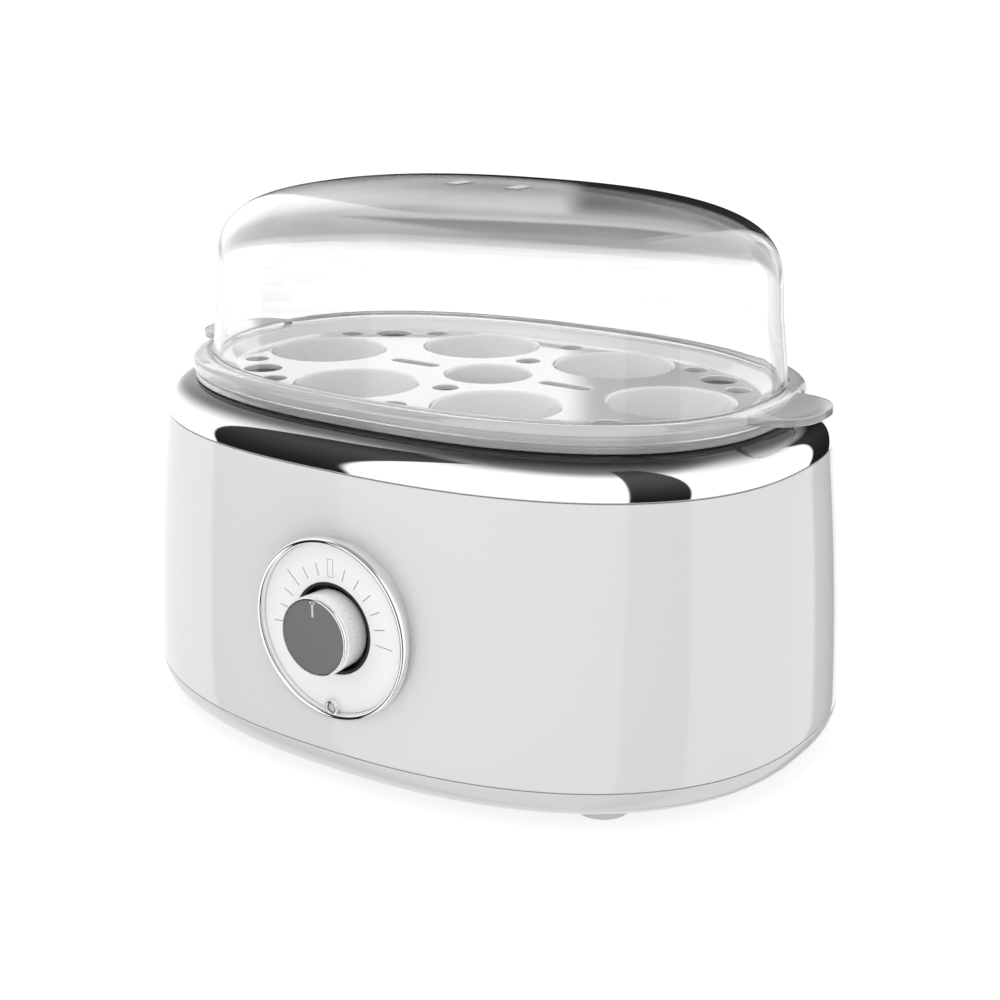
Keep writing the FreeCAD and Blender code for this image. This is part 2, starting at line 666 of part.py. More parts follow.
# ---- lid -----------------------------------------------------------------------------
def dome_sections(thickness, low):
    """Leaning wall, round shoulder and nearly flat roof, as (oval, z) sections."""
    base_z = LID_RIM[2]
    sections = []
    wall_steps = 5
    for step in range(wall_steps):
        z = low + (LID_SHOULDER_Z - low) * step / wall_steps
        sections.append((inset(LID_OVAL, thickness + LID_DRAFT * (z - base_z)), z))
    shoulder = inset(LID_OVAL, thickness + LID_DRAFT * (LID_SHOULDER_Z - base_z))
    height = LID_TOP - thickness - LID_SHOULDER_Z
    for share in (0.06, 0.2, 0.34, 0.48, 0.6, 0.7, 0.78, 0.85, 0.91, 0.955, 0.985):
        rise = math.sin(math.pi / 2 * share) ** (2 / LID_ROUNDNESS)
        scale = math.cos(math.pi / 2 * share) ** (2 / LID_ROUNDNESS)
        oval = (shoulder[0] * scale, shoulder[1] * scale, shoulder[2])
        sections.append((oval, LID_SHOULDER_Z + height * rise))
    return sections


def ear(sign):
    """Flat grip at one end of the lid's rim."""
    root = sign * (RIM_OVAL[0] - 3.0)
    reach = EAR_TIP - abs(root)
    points = []
    for step in range(13):
        angle = math.radians(-90 + 15 * step)
        c = math.cos(angle)
        s = math.sin(angle)
        x = root + sign * reach * abs(c) ** 0.8
        points.append(Vector(x, EAR_HALF_WIDTH * math.copysign(abs(s) ** 0.8, s), EAR_Z[0]))
    curve = Part.BSplineCurve()
    curve.interpolate(points)
    close = Part.LineSegment(points[-1], points[0])
    outline = Part.Wire([curve.toShape(), close.toShape()])
    return Part.Face(outline).extrude(Vector(0, 0, EAR_Z[1] - EAR_Z[0]))


def lid():
    underside, corner, top = LID_RIM
    rim_outer = inset(RIM_OVAL, -0.3)
    pocket = inset(RIM_OVAL, 3.9)
    rim = oval_prism(rim_outer, underside, corner)
    bead = oval_loft([(rim_outer, corner), (inset(rim_outer, 0.9), corner + 1.35),
                      (inset(rim_outer, 2.5), top)])
    rim = rim.fuse(bead)
    ears = [ear(-1), ear(1)]
    inside = oval_loft(dome_sections(LID_WALL, top))
    outside = oval_loft(dome_sections(0, top - 0.4))
    neck = oval_prism(inset(LID_OVAL, LID_WALL), underside - 1, top)
    shell = fuse([rim, outside] + ears)
    shell = shell.cut(oval_prism(pocket, underside - 1, LID_POCKET_TOP))
    shell = shell.cut(neck).cut(inside)
    half_x = VENT_SIZE[0] / 2
    half_y = VENT_SIZE[1] / 2
    for x in (-VENT_X, VENT_X):
        vent = block((x - half_x, -half_y, LID_TOP - 6), (x + half_x, half_y, LID_TOP + 3))
        shell = shell.cut(vent)
    return shell


# ---- inlet, board and small parts ----------------------------------------------------
def cord_inlet():
    """Rubber bush in the rear wall; the mains cord would come in through its bore."""
    wall = -wall_y(INLET_X, INLET_Z, 0)
    bush = barrel(INLET_X, INLET_Z, wall - 9, wall + 1.6, INLET_RADIUS)
    collar = barrel(INLET_X, INLET_Z, wall - 9.0, wall - 7.0, INLET_RADIUS + 2.0)
    return fuse([bush, collar]).cut(barrel(INLET_X, INLET_Z, 60, 100, INLET_BORE))


def clamp_screw_places():
    return [INLET_X - CLAMP_SCREW_X, INLET_X + CLAMP_SCREW_X]


def cord_clamp():
    low = (INLET_X - 15, CLAMP_Y - 4, CLAMP_Z)
    high = (INLET_X + 15, CLAMP_Y + 4, CLAMP_Z + 3)
    bridge = barrel(INLET_X, CLAMP_Z + 3, CLAMP_Y - 4, CLAMP_Y + 4, 6.4)
    bridge = bridge.common(block((INLET_X - 8, 40, CLAMP_Z), (INLET_X + 8, 90, CLAMP_Z + 12)))
    clamp = fuse([block(low, high), bridge])
    clamp = clamp.cut(barrel(INLET_X, CLAMP_Z + 2.0, CLAMP_Y - 5, CLAMP_Y + 5, 3.9))
    for x in clamp_screw_places():
        clamp = clamp.cut(rod(x, CLAMP_Y, CLAMP_Z - 1, CLAMP_Z + 4, 1.5))
    return clamp


def pan_screw(x, y, top, shank, head, length):
    """Pan-head screw driven downwards, the head resting at height top."""
    body = fuse([rod(x, y, top - length, top, shank), rod(x, y, top, top + 1.8, head)])
    return body.cut(block((x - head * 0.7, y - 0.4, top + 1), (x + head * 0.7, y + 0.4, top + 2)))


def clamp_screws():
    top = CLAMP_Z + 3
    return separate([pan_screw(x, CLAMP_Y, top, SMALL_PILOT, 2.7, 9.0)
                     for x in clamp_screw_places()])


def board_corners():
    """Middles of the board's four screw holes."""
    x0, y0 = BOARD_CORNER[:2]
    xs = (x0 + BOARD_HOLE_INSET, x0 + BOARD_SIZE[0] - BOARD_HOLE_INSET)
    ys = (y0 + BOARD_HOLE_INSET, y0 + BOARD_SIZE[1] - BOARD_HOLE_INSET)
    return [(x, y) for x in xs for y in ys]


def control_board():
    low = BOARD_CORNER[2]
    board = block(BOARD_CORNER, [p + q for p, q in zip(BOARD_CORNER, BOARD_SIZE)])
    for x, y in board_corners():
        board = board.cut(rod(x, y, low - 1, low + 3, 1.5))
    return board


def board_screws():
    top = BOARD_CORNER[2] + BOARD_SIZE[2]
    return separate([pan_screw(x, y, top, SMALL_PILOT, 2.6, 7.0) for x, y in board_corners()])


def on_board(dx, dy, size):
    x0, y0, z0 = BOARD_CORNER
    z = z0 + BOARD_SIZE[2]
    low = (x0 + dx, y0 + dy, z)
    return block(low, [p + q for p, q in zip(low, size)])


def relay():
    return on_board(8.0, 11.0, (19.0, 15.5, 15.0))


def transformer():
    core = on_board(31.0, 10.0, (24.0, 22.0, 7.0))
    coil = on_board(34.0, 13.0, (18.0, 16.0, 18.0))
    return fuse([core, coil])


def buzzer():
    x0, y0, z0 = BOARD_CORNER
    z = z0 + BOARD_SIZE[2]
    can = rod(x0 + 17, y0 + 36.5, z, z + 9, 6.0)
    return can.cut(rod(x0 + 17, y0 + 36.5, z + 6, z + 10, 1.2))


def terminal_block():
    low = (INLET_X - 12, 34.0, FOOT_HEIGHT + PAN_WALL)
    body = block(low, (INLET_X + 12, 48.0, 18.0))
    for dx in (-8.0, 0.0, 8.0):
        body = body.cut(Part.makeCylinder(1.8, 20, Vector(INLET_X + dx, 30, 12), Vector(0, 1, 0)))
        body = body.cut(rod(INLET_X + dx, 41, 14.2, 19, 1.6))
    return body


def wire(points, radius):
    """Round wire along straight runs joined by tangent arcs."""
    turns = [Vector(*p) for p in points]
    edges = []
    start = turns[0]
    for before, here, after in zip(turns, turns[1:], turns[2:]):
        back = before - here
        ahead = after - here
        trim = 0.42 * min(back.Length, ahead.Length)
        back.normalize()
        ahead.normalize()
        first = here + back * trim
        last = here + ahead * trim
        bend = trim * math.tan(back.getAngle(ahead) / 2)
        middle = (back + ahead).normalize()
        crown = here + middle * (math.hypot(bend, trim) - bend)
        edges.append(Part.LineSegment(start, first).toShape())
        edges.append(Part.Arc(first, crown, last).toShape())
        start = last
    edges.append(Part.LineSegment(start, turns[-1]).toShape())
    path = Part.Wire(edges)
    direction = (turns[1] - turns[0]).normalize()
    profile = Part.Wire([Part.makeCircle(radius, turns[0], direction)])
    return path.makePipeShell([profile], True, False)


def heater_leads():
    """From the heater's two ends down to the board."""
    low = spreader_levels()[0] - HEATER_TUBE - 14
    right = [(7, 29, low), (7, 29, 52), (14, 44, 42), (18, 44, 30), (22, 36, 26)]
    left = [(-7, 29, low), (-7, 29, 50), (-26, 30, 38), (-46, 22, 30), (-58, 14, 21),
            (-58, 22, 12), (-58, 33.9, 12)]
    return separate([wire(right, 1.4), wire(left, 1.4)])


def mains_leads():
    """From the terminal block across to the board."""
    first = [(-50, 33.9, 12), (-50, 22, 12), (-38, 10, 12), (-16, 6, 12), (-4, 8, 18),
             (7.9, 10, 20)]
    second = [(-66, 33.9, 12), (-66, 18, 12), (-48, 0, 12), (-18, -6, 12), (-6, -4, 18),
              (7.9, 0, 20)]
    return separate([wire(first, 1.4), wire(second, 1.4)])


def base_screws():
    """Four long screws from below, through the pan and up into the cover's posts."""
    screws = []
    for x, y in corners(*POST_PLACE):
        seat = SCREW_SEAT
        shank = rod(x, y, seat, seat + 20, SCREW_RADIUS)
        head = rod(x, y, seat - 2.4, seat, 3.3)
        cross = block((x - 2.2, y - 0.5, seat - 3), (x + 2.2, y + 0.5, seat - 1.4))
        screws.append(fuse([shank, head]).cut(cross))
    return separate(screws)


def rubber_feet():
    feet = []
    for x, y in corners(*POST_PLACE):
        pad = Part.makeCone(FOOT_RADIUS - 1.2, FOOT_RADIUS, FOOT_HEIGHT, Vector(x, y, 0))
        plug = rod(x, y, FOOT_HEIGHT - 0.1, FOOT_HEIGHT + 1.7, 3.5)
        feet.append(fuse([pad, plug]))
    return separate(feet)


NODES = {
    "base_pan": base_pan,
    "outer_housing": outer_housing,
    "chrome_cover": chrome_cover,
    "heating_dish": heating_dish,
    "dish_seal": dish_seal,
    "heat_spreader": heat_spreader,
    "heating_element": heating_element,
    "boil_dry_thermostat": boil_dry_thermostat,
    "thermal_fuse": thermal_fuse,
    "fuse_clip": fuse_clip,
    "heat_shield": heat_shield,
    "shield_spacers": shield_spacers,
    "shield_nuts": shield_nuts,
    "dial_cup": dial_cup,
    "knob_well": knob_well,
    "dial_face": dial_face,
    "bezel_ring": bezel_ring,
    "indicator_lens": indicator_lens,
    "dial_screws": dial_screws,
    "regulator": regulator,
    "regulator_nut": regulator_nut,
    "control_shaft": control_shaft,
    "knob_body": knob_body,
    "knob_trim_ring": knob_trim_ring,
    "knob_cap": knob_cap,
    "knob_pointer": knob_pointer,
    "tray_carrier": tray_carrier,
    "egg_plate": egg_plate,
    "lid": lid,
    "cord_inlet": cord_inlet,
    "cord_clamp": cord_clamp,
    "clamp_screws": clamp_screws,
    "control_board": control_board,
    "board_screws": board_screws,
    "relay": relay,
    "transformer": transformer,
    "buzzer": buzzer,
    "terminal_block": terminal_block,
    "heater_leads": heater_leads,
    "mains_leads": mains_leads,
    "base_screws": base_screws,
    "rubber_feet": rubber_feet,
}


def write_parts():
    os.makedirs("parts", exist_ok=True)
    for name, make in NODES.items():
        shape = make()
        shape.translate(Vector(0, BODY_SHIFT_Y, 0))
        shape.exportStep(os.path.join("parts", name + ".step"))
        box = shape.BoundBox
        print(f"{name:22s} solids {len(shape.Solids):2d} valid {shape.isValid()} "
              f"volume {shape.Volume:10.1f}  X {box.XMin:8.2f} {box.XMax:8.2f} "
              f"Y {box.YMin:8.2f} {box.YMax:8.2f} Z {box.ZMin:7.2f} {box.ZMax:7.2f}")


write_parts()
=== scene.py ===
import json
import math

import bmesh
import bpy
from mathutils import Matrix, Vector
from mathutils.geometry import delaunay_2d_cdt


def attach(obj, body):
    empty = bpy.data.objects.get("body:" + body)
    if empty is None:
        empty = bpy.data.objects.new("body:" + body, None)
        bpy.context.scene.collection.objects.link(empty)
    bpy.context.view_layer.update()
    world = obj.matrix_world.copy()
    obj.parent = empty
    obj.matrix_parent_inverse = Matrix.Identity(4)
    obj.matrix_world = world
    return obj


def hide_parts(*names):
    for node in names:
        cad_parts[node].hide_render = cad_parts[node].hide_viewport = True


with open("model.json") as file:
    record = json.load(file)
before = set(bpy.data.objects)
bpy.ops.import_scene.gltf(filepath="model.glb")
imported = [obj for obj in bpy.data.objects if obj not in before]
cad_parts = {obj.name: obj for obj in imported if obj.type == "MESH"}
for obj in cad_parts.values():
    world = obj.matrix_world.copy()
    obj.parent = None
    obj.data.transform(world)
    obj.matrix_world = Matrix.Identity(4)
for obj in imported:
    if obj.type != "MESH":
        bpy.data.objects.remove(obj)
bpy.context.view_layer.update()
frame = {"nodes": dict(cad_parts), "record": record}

MM = 0.001
SHIFT_Y = 3.2                    # the record's frame centres the whole box, knob included

# ---- shared dimensions, in mm, as in the CAD part -----------------------------------
BASE_OVAL = (120.08, 90.57, 2.32)
MIDDLE_OVAL = (117.9, 86.8, 2.38)
SHOULDER_OVAL = (113.8, 81.0, 2.45)
RIM_OVAL = (105.0, 71.9, 2.45)
LID_OVAL = (100.9, 66.9, 2.3)
PLATE_OVAL = (91.5, 58.0, 2.45)
FOOT_HEIGHT = 2.7
BASE_TOP = 12.6
SIDE_MIDDLE_Z = 55.0
HOUSING_TOP = 98.2
COVER_TOP = 109.7
SHELF_TOP = 105.5
PLATE_TOP = 113.0
PLATE_BOTTOM = 111.2
LID_TOP = 174.79
LID_SHOULDER_Z = 143.0
LID_BASE_Z = 117.8
LID_DRAFT = 0.11
LID_ROUNDNESS = 3.45
LID_WALL = 2.1
WALL = 2.4
PAN_WALL = 2.2
HALF_GAP = 0.09
EAR_TIP = 119.8
EAR_HALF_WIDTH = 18.0
VENT_X = 11.5
VENT_SIZE = (5.0, 8.5)
DIAL_X = 4.0
DIAL_Z = 51.9
DIAL_FACE_Y = -88.2
DIAL_PLATE_Y = -86.8
BEZEL_FRONT_Y = -90.5
BEZEL_RADIUS = 28.8
BEZEL_DEPTH = 2.6
BEZEL_NECK_RADIUS = 27.6
BEZEL_INNER = 26.65
WELL_RADIUS = 14.4
KNOB_RADIUS = 12.4
KNOB_FRONT_Y = -96.99
KNOB_RING_DEPTH = 2.0
KNOB_BACK_Y = -86.6
LENS_DROP = 25.2
LENS_RADIUS = 1.5
ARCH_RADIUS = 2.3
CARRIER_TOP = 116.2              # where the lid's pocket sits over the carrier
LID_FOOT = 112.5
VENT_REACH = (20.0, 9.0)         # half size of the patch of roof that holds both vents
CUP_RADIUS = 20.0
CUP_DEPTH = 12.0
CUP_TAPER = 4.0
CUP_X = (68.2, 27.35)            # end cups, and the four between them
CUP_Y = 34.8
MIDDLE_CUP = (14.2, 7.0, 1.4)    # radius, depth, taper
CORNER_HOLES = ((78.8, 25.9, 4.0), (67.0, 35.5, 6.25), (53.8, 44.5, 4.0))
AXIS_HOLES_Y = (-50.9, -23.7, 23.7, 50.9)
AXIS_HOLE_RADIUS = 4.1
SLOT = (20.5, 39.5, 2.5)         # from, to and half width, on the long axis
DIAL_HOLE_RADIUS = 26.8
INLET = (-58.0, 30.0, 6.3)       # x, z and radius of the cord inlet's hole
POST_RADIUS = 3.9
DIAL_SWEEP = 190.0               # degrees from the first tick to the last
TICKS = 13
POSTS = [(sx * 78.7, sy * 53.7) for sx in (-1, 1) for sy in (-1, 1)]


# ---- outlines -------------------------------------------------------------------------
def even_angles(count):
    """Angles that step evenly along a typical body oval, the same in all four quarters."""
    fine = 4000
    points = [oval_xy((110.0, 80.0, 2.4), math.pi / 2 * i / fine) for i in range(fine + 1)]
    lengths = [0.0]
    for p, q in zip(points, points[1:]):
        lengths.append(lengths[-1] + math.dist(p, q))
    quarter = []
    k = 0
    for i in range(count // 4):
        target = lengths[-1] * i / (count // 4)
        while lengths[k + 1] < target:
            k += 1
        quarter.append(math.pi / 2 * k / fine)
    back = [math.pi - a for a in [math.pi / 2] + quarter[:0:-1]]
    half = quarter + back
    return half + [a + math.pi for a in half]


def oval_xy(oval, angle):
    a, b, power = oval
    c = math.cos(angle)
    s = math.sin(angle)
    return (a * math.copysign(abs(c) ** (2 / power), c),
            b * math.copysign(abs(s) ** (2 / power), s))


ANGLES = even_angles(240)
LID_ANGLES = even_angles(360)


def loop(oval, z, angles=ANGLES):
    return [(*oval_xy(oval, a), z) for a in angles]


def inset(oval, distance):
    return (oval[0] - distance, oval[1] - distance, oval[2])


def blend(low, high, share):
    return tuple(p + (q - p) * share for p, q in zip(low, high))


def side_section(z):
    """Outer plan of the body at height z: three ovals joined by one parabola."""
    t = (z - BASE_TOP) / (HOUSING_TOP - BASE_TOP)
    m = (SIDE_MIDDLE_Z - BASE_TOP) / (HOUSING_TOP - BASE_TOP)
    shares = ((t - m) * (t - 1) / m, t * (t - 1) / (m * (m - 1)), t * (t - m) / (1 - m))
    ovals = zip(BASE_OVAL, MIDDLE_OVAL, SHOULDER_OVAL)
    return tuple(sum(s * v for s, v in zip(shares, values)) for values in ovals)


def wall_y(x, z):
    """y of the front wall's outer face at (x, z)."""
    a, b, power = side_section(z)
    return -b * (1 - abs(x / a) ** power) ** (1 / power)


def rounded(corners, steps=4):
    """Closed outline through (p, q, radius) corners, each softened by its radius."""
    points = []
    count = len(corners)
    for i in range(count):
        here = Vector(corners[i][:2])
        before = Vector(corners[i - 1][:2]) - here
        after = Vector(corners[(i + 1) % count][:2]) - here
        radius = min(corners[i][2], before.length * 0.45, after.length * 0.45)
        if radius < 1e-4:
            points.append(tuple(here))
            continue
        start = here + before.normalized() * radius
        end = here + after.normalized() * radius
        for k in range(steps + 1):
            t = k / steps
            p = start * (1 - t) ** 2 + here * (2 * t * (1 - t)) + end * t * t
            points.append(tuple(p))
    return points


def divided(points, longest):
    """The same closed outline with no step in q longer than longest."""
    out = []
    for p, q in zip(points, points[1:] + points[:1]):
        count = max(1, math.ceil(abs(q[1] - p[1]) / longest))
        for k in range(count):
            out.append((p[0] + (q[0] - p[0]) * k / count, p[1] + (q[1] - p[1]) * k / count))
    return out


def inside(point, outline):
    """True if the point lies within the closed outline, both seen from above."""
    x, y = point[:2]
    within = False
    for p, q in zip(outline, outline[1:] + outline[:1]):
        if (p[1] > y) != (q[1] > y) and x < p[0] + (q[0] - p[0]) * (y - p[1]) / (q[1] - p[1]):
            within = not within
    return within


# ---- meshes -----------------------------------------------------------------------------
class Builder:
    """Collects loops and faces in mm, then makes one mesh object from them."""

    def __init__(self):
        self.verts = []
        self.faces = []

    def add_loop(self, points):
        start = len(self.verts)
        self.verts.extend(points)
        return list(range(start, len(self.verts)))

    def strip(self, loops, closed=False):
        rows = [self.add_loop(points) for points in loops]
        pairs = list(zip(rows, rows[1:]))
        if closed:
            pairs.append((rows[-1], rows[0]))
        for low, high in pairs:
            count = len(low)
            for i in range(count):
                j = (i + 1) % count
                self.faces.append((low[i], low[j], high[j], high[i]))
        return rows

    def cap(self, row):
        points = [Vector(self.verts[i]) for i in row]
        middle = sum(points, Vector()) / len(points)
        centre = self.add_loop([tuple(middle)])[0]
        for i in range(len(row)):
            self.faces.append((row[i], row[(i + 1) % len(row)], centre))

    def fill(self, outlines):
        """Flat face bounded by the first outline, with the others as holes in it."""
        rows = [self.add_loop(points) for points in outlines]
        ids = [i for row in rows for i in row]
        flat = [Vector(self.verts[i][:2]) for i in ids]
        edges = []
        start = 0
        for row in rows:
            count = len(row)
            edges += [(start + i, start + (i + 1) % count) for i in range(count)]
            start += count
        points, _, triangles, origin, _, _ = delaunay_2d_cdt(flat, edges, [], 0, 1e-7)
        for triangle in triangles:
            middle = sum((points[i] for i in triangle), Vector((0, 0))) / 3
            if inside(middle, outlines[0]) and not any(inside(middle, h) for h in outlines[1:]):
                self.faces.append(tuple(ids[origin[i][0]] for i in triangle))

    def box(self, low, high):
        x0, y0, z0 = low
        x1, y1, z1 = high
        bottom = [(x0, y0, z0), (x1, y0, z0), (x1, y1, z0), (x0, y1, z0)]
        top = [(x, y, z1) for x, y, z in bottom]
        rows = self.strip([bottom, top])
        self.faces.append(tuple(rows[0]))
        self.faces.append(tuple(rows[1]))

    def make(self, name, sharp=38.0, merge=0.002):
        mesh = bpy.data.meshes.new(name)
        points = [(x * MM, (y + SHIFT_Y) * MM, z * MM) for x, y, z in self.verts]
        mesh.from_pydata(points, [], self.faces)
        bm = bmesh.new()
        bm.from_mesh(mesh)
        bmesh.ops.remove_doubles(bm, verts=bm.verts, dist=merge * MM)
        bmesh.ops.recalc_face_normals(bm, faces=bm.faces)
        bm.to_mesh(mesh)
        bm.free()
        mesh.shade_smooth()
        mesh.set_sharp_from_angle(angle=math.radians(sharp))
        obj = bpy.data.objects.new(name, mesh)
        bpy.context.scene.collection.objects.link(obj)
        return obj


def ring_shell(name, sections, **options):
    builder = Builder()
    builder.strip([loop(oval, z) for oval, z in sections], closed=True)
    return builder.make(name, **options)


def circle(x, y, radius, z, count):
    step = 2 * math.pi / count
    return [(x + radius * math.cos(step * i), y + radius * math.sin(step * i), z)
            for i in range(count)]


def dial_circle(radius, y, count=128, x=DIAL_X, z=DIAL_Z):
    """Circle facing the front; y is a number, or a function of (x, z)."""
    points = []
    for i in range(count):
        angle = 2 * math.pi * i / count
        px = x + radius * math.cos(angle)
        pz = z + radius * math.sin(angle)
        points.append((px, y(px, pz) if callable(y) else y, pz))
    return points


def dial_ring(builder, profile, **place):
    """Ring round the dial's axis from a closed (radius, y) outline."""
    builder.strip([dial_circle(r, y, **place) for r, y in profile], closed=True)


def dial_disc(builder, profile, **place):
    """Solid of revolution on the dial's axis, closed at both ends."""
    rows = builder.strip([dial_circle(r, y, **place) for r, y in profile])
    builder.cap(rows[0])
    builder.cap(rows[-1])


def cut(obj, *cutters):
    for cutter in cutters:
        mod = obj.modifiers.new("cut", "BOOLEAN")
        mod.operation = "DIFFERENCE"
        mod.solver = "EXACT"
        mod.object = cutter
    graph = bpy.context.evaluated_depsgraph_get()
    mesh = bpy.data.meshes.new_from_object(obj.evaluated_get(graph))
    old = obj.data
    obj.modifiers.clear()
    obj.data = mesh
    bpy.data.meshes.remove(old)
    for cutter in cutters:
        data = cutter.data
        bpy.data.objects.remove(cutter)
        bpy.data.meshes.remove(data)
    mesh.shade_smooth()
    mesh.set_sharp_from_angle(angle=math.radians(38.0))


# ---- shells -----------------------------------------------------------------------------
def make_housing():
    low = BASE_TOP + HALF_GAP
    high = HOUSING_TOP - HALF_GAP
    outline = rounded([(0, low, 0.5), (0, high, 0.45), (WALL, high, 0.3), (WALL, low, 0.3)])
    outline = divided(outline, 4.0)
    wall = ring_shell("housing_wall", [(inset(side_section(z), d), z) for d, z in outline])
    hole = Builder()
    dial_disc(hole, [(DIAL_HOLE_RADIUS, -99.0), (DIAL_HOLE_RADIUS, -70.0)])
    inlet = Builder()
    inlet_x, inlet_z, inlet_radius = INLET
    dial_disc(inlet, [(inlet_radius, 60.0), (inlet_radius, 100.0)], count=48, x=inlet_x,
              z=inlet_z)
    cut(wall, hole.make("dial_hole"), inlet.make("inlet_hole"))
    return wall


def make_cover():
    """Quarter-round polished shoulder, its flat top, the ledge for the dish and the lip."""
    low = HOUSING_TOP + HALF_GAP
    top_oval = inset(RIM_OVAL, 1.0)

    def shoulder(angle, distance):
        oval = blend(SHOULDER_OVAL, top_oval, 1 - math.cos(angle))
        return inset(oval, distance), low + (COVER_TOP - distance - low) * math.sin(angle)

    sections = [(inset(SHOULDER_OVAL, 0.35), low)]
    steps = 30
    first = 0.035
    for i in range(steps + 1):
        sections.append(shoulder(first + (math.pi / 2 - first) * i / steps, 0))
    for d, z in ((6.1, COVER_TOP), (6.4, COVER_TOP - 0.1), (6.5, COVER_TOP - 0.4),
                 (6.5, SHELF_TOP), (11.3, SHELF_TOP), (11.6, SHELF_TOP - 0.3),
                 (11.6, SHELF_TOP - 1.8), (4.7, SHELF_TOP - 1.8), (4.7, COVER_TOP - 1.8)):
        sections.append((inset(RIM_OVAL, d), z))
    for i in range(9):
        sections.append(shoulder(math.pi / 2 * (1 - i / 8) * 0.96, 1.8))
    lip_oval = side_section(HOUSING_TOP - 5)
    lip_outer = inset(lip_oval, WALL + 0.3)
    sections.append((inset(lip_outer, 1.6), HOUSING_TOP - 5))
    sections.append((lip_outer, HOUSING_TOP - 5))
    sections.append((lip_outer, low))
    builder = Builder()
    builder.strip([loop(oval, z) for oval, z in sections], closed=True)
    for x, y in POSTS:
        rows = builder.strip([circle(x, y, POST_RADIUS, BASE_TOP + 0.3, 32),
                              circle(x, y, POST_RADIUS, COVER_TOP - 1.9, 32)])
        builder.cap(rows[0])
        builder.cap(rows[1])
    return builder.make("cover_shell", sharp=42.0)


def make_base():
    depth = BASE_TOP - FOOT_HEIGHT - HALF_GAP

    def bowl(angle, distance):
        oval = inset(BASE_OVAL, 9.0 * (1 - math.cos(angle)) + distance)
        return oval, FOOT_HEIGHT + depth * (1 - math.sin(angle)) + distance

    steps = 20
    sections = [bowl(math.pi / 2 * (1 - i / steps), 0) for i in range(steps)]
    top = BASE_TOP - HALF_GAP
    lip = WALL + 0.3
    sections += [(BASE_OVAL, top - 0.35), (inset(BASE_OVAL, 0.12), top - 0.08),
                 (inset(BASE_OVAL, 0.4), top), (inset(BASE_OVAL, lip), top)]
    sections += [(inset(side_section(z), lip), z) for z in (top + 0.1, BASE_TOP + 5)]
    sections += [(inset(side_section(z), lip + 1.6), z) for z in (BASE_TOP + 5, top + 0.1)]
    sections += [(inset(BASE_OVAL, lip + 2.6), top - 0.5), (inset(BASE_OVAL, lip + 2.6), 9.0)]
    sections += [bowl(math.pi / 2 * (0.55 + 0.45 * i / 8), PAN_WALL) for i in range(9)]
    builder = Builder()
    rows = builder.strip([loop(oval, z) for oval, z in sections])
    builder.cap(rows[0])
    builder.cap(rows[-1])
    pan = builder.make("base_tray")
    slots = Builder()
    for i in range(7):
        x = -24.0 + 8.0 * i
        slots.box((x, 46.0, 0.0), (x + 3.0, 62.0, 7.0))
    cut(pan, slots.make("vent_slots"))
    return pan


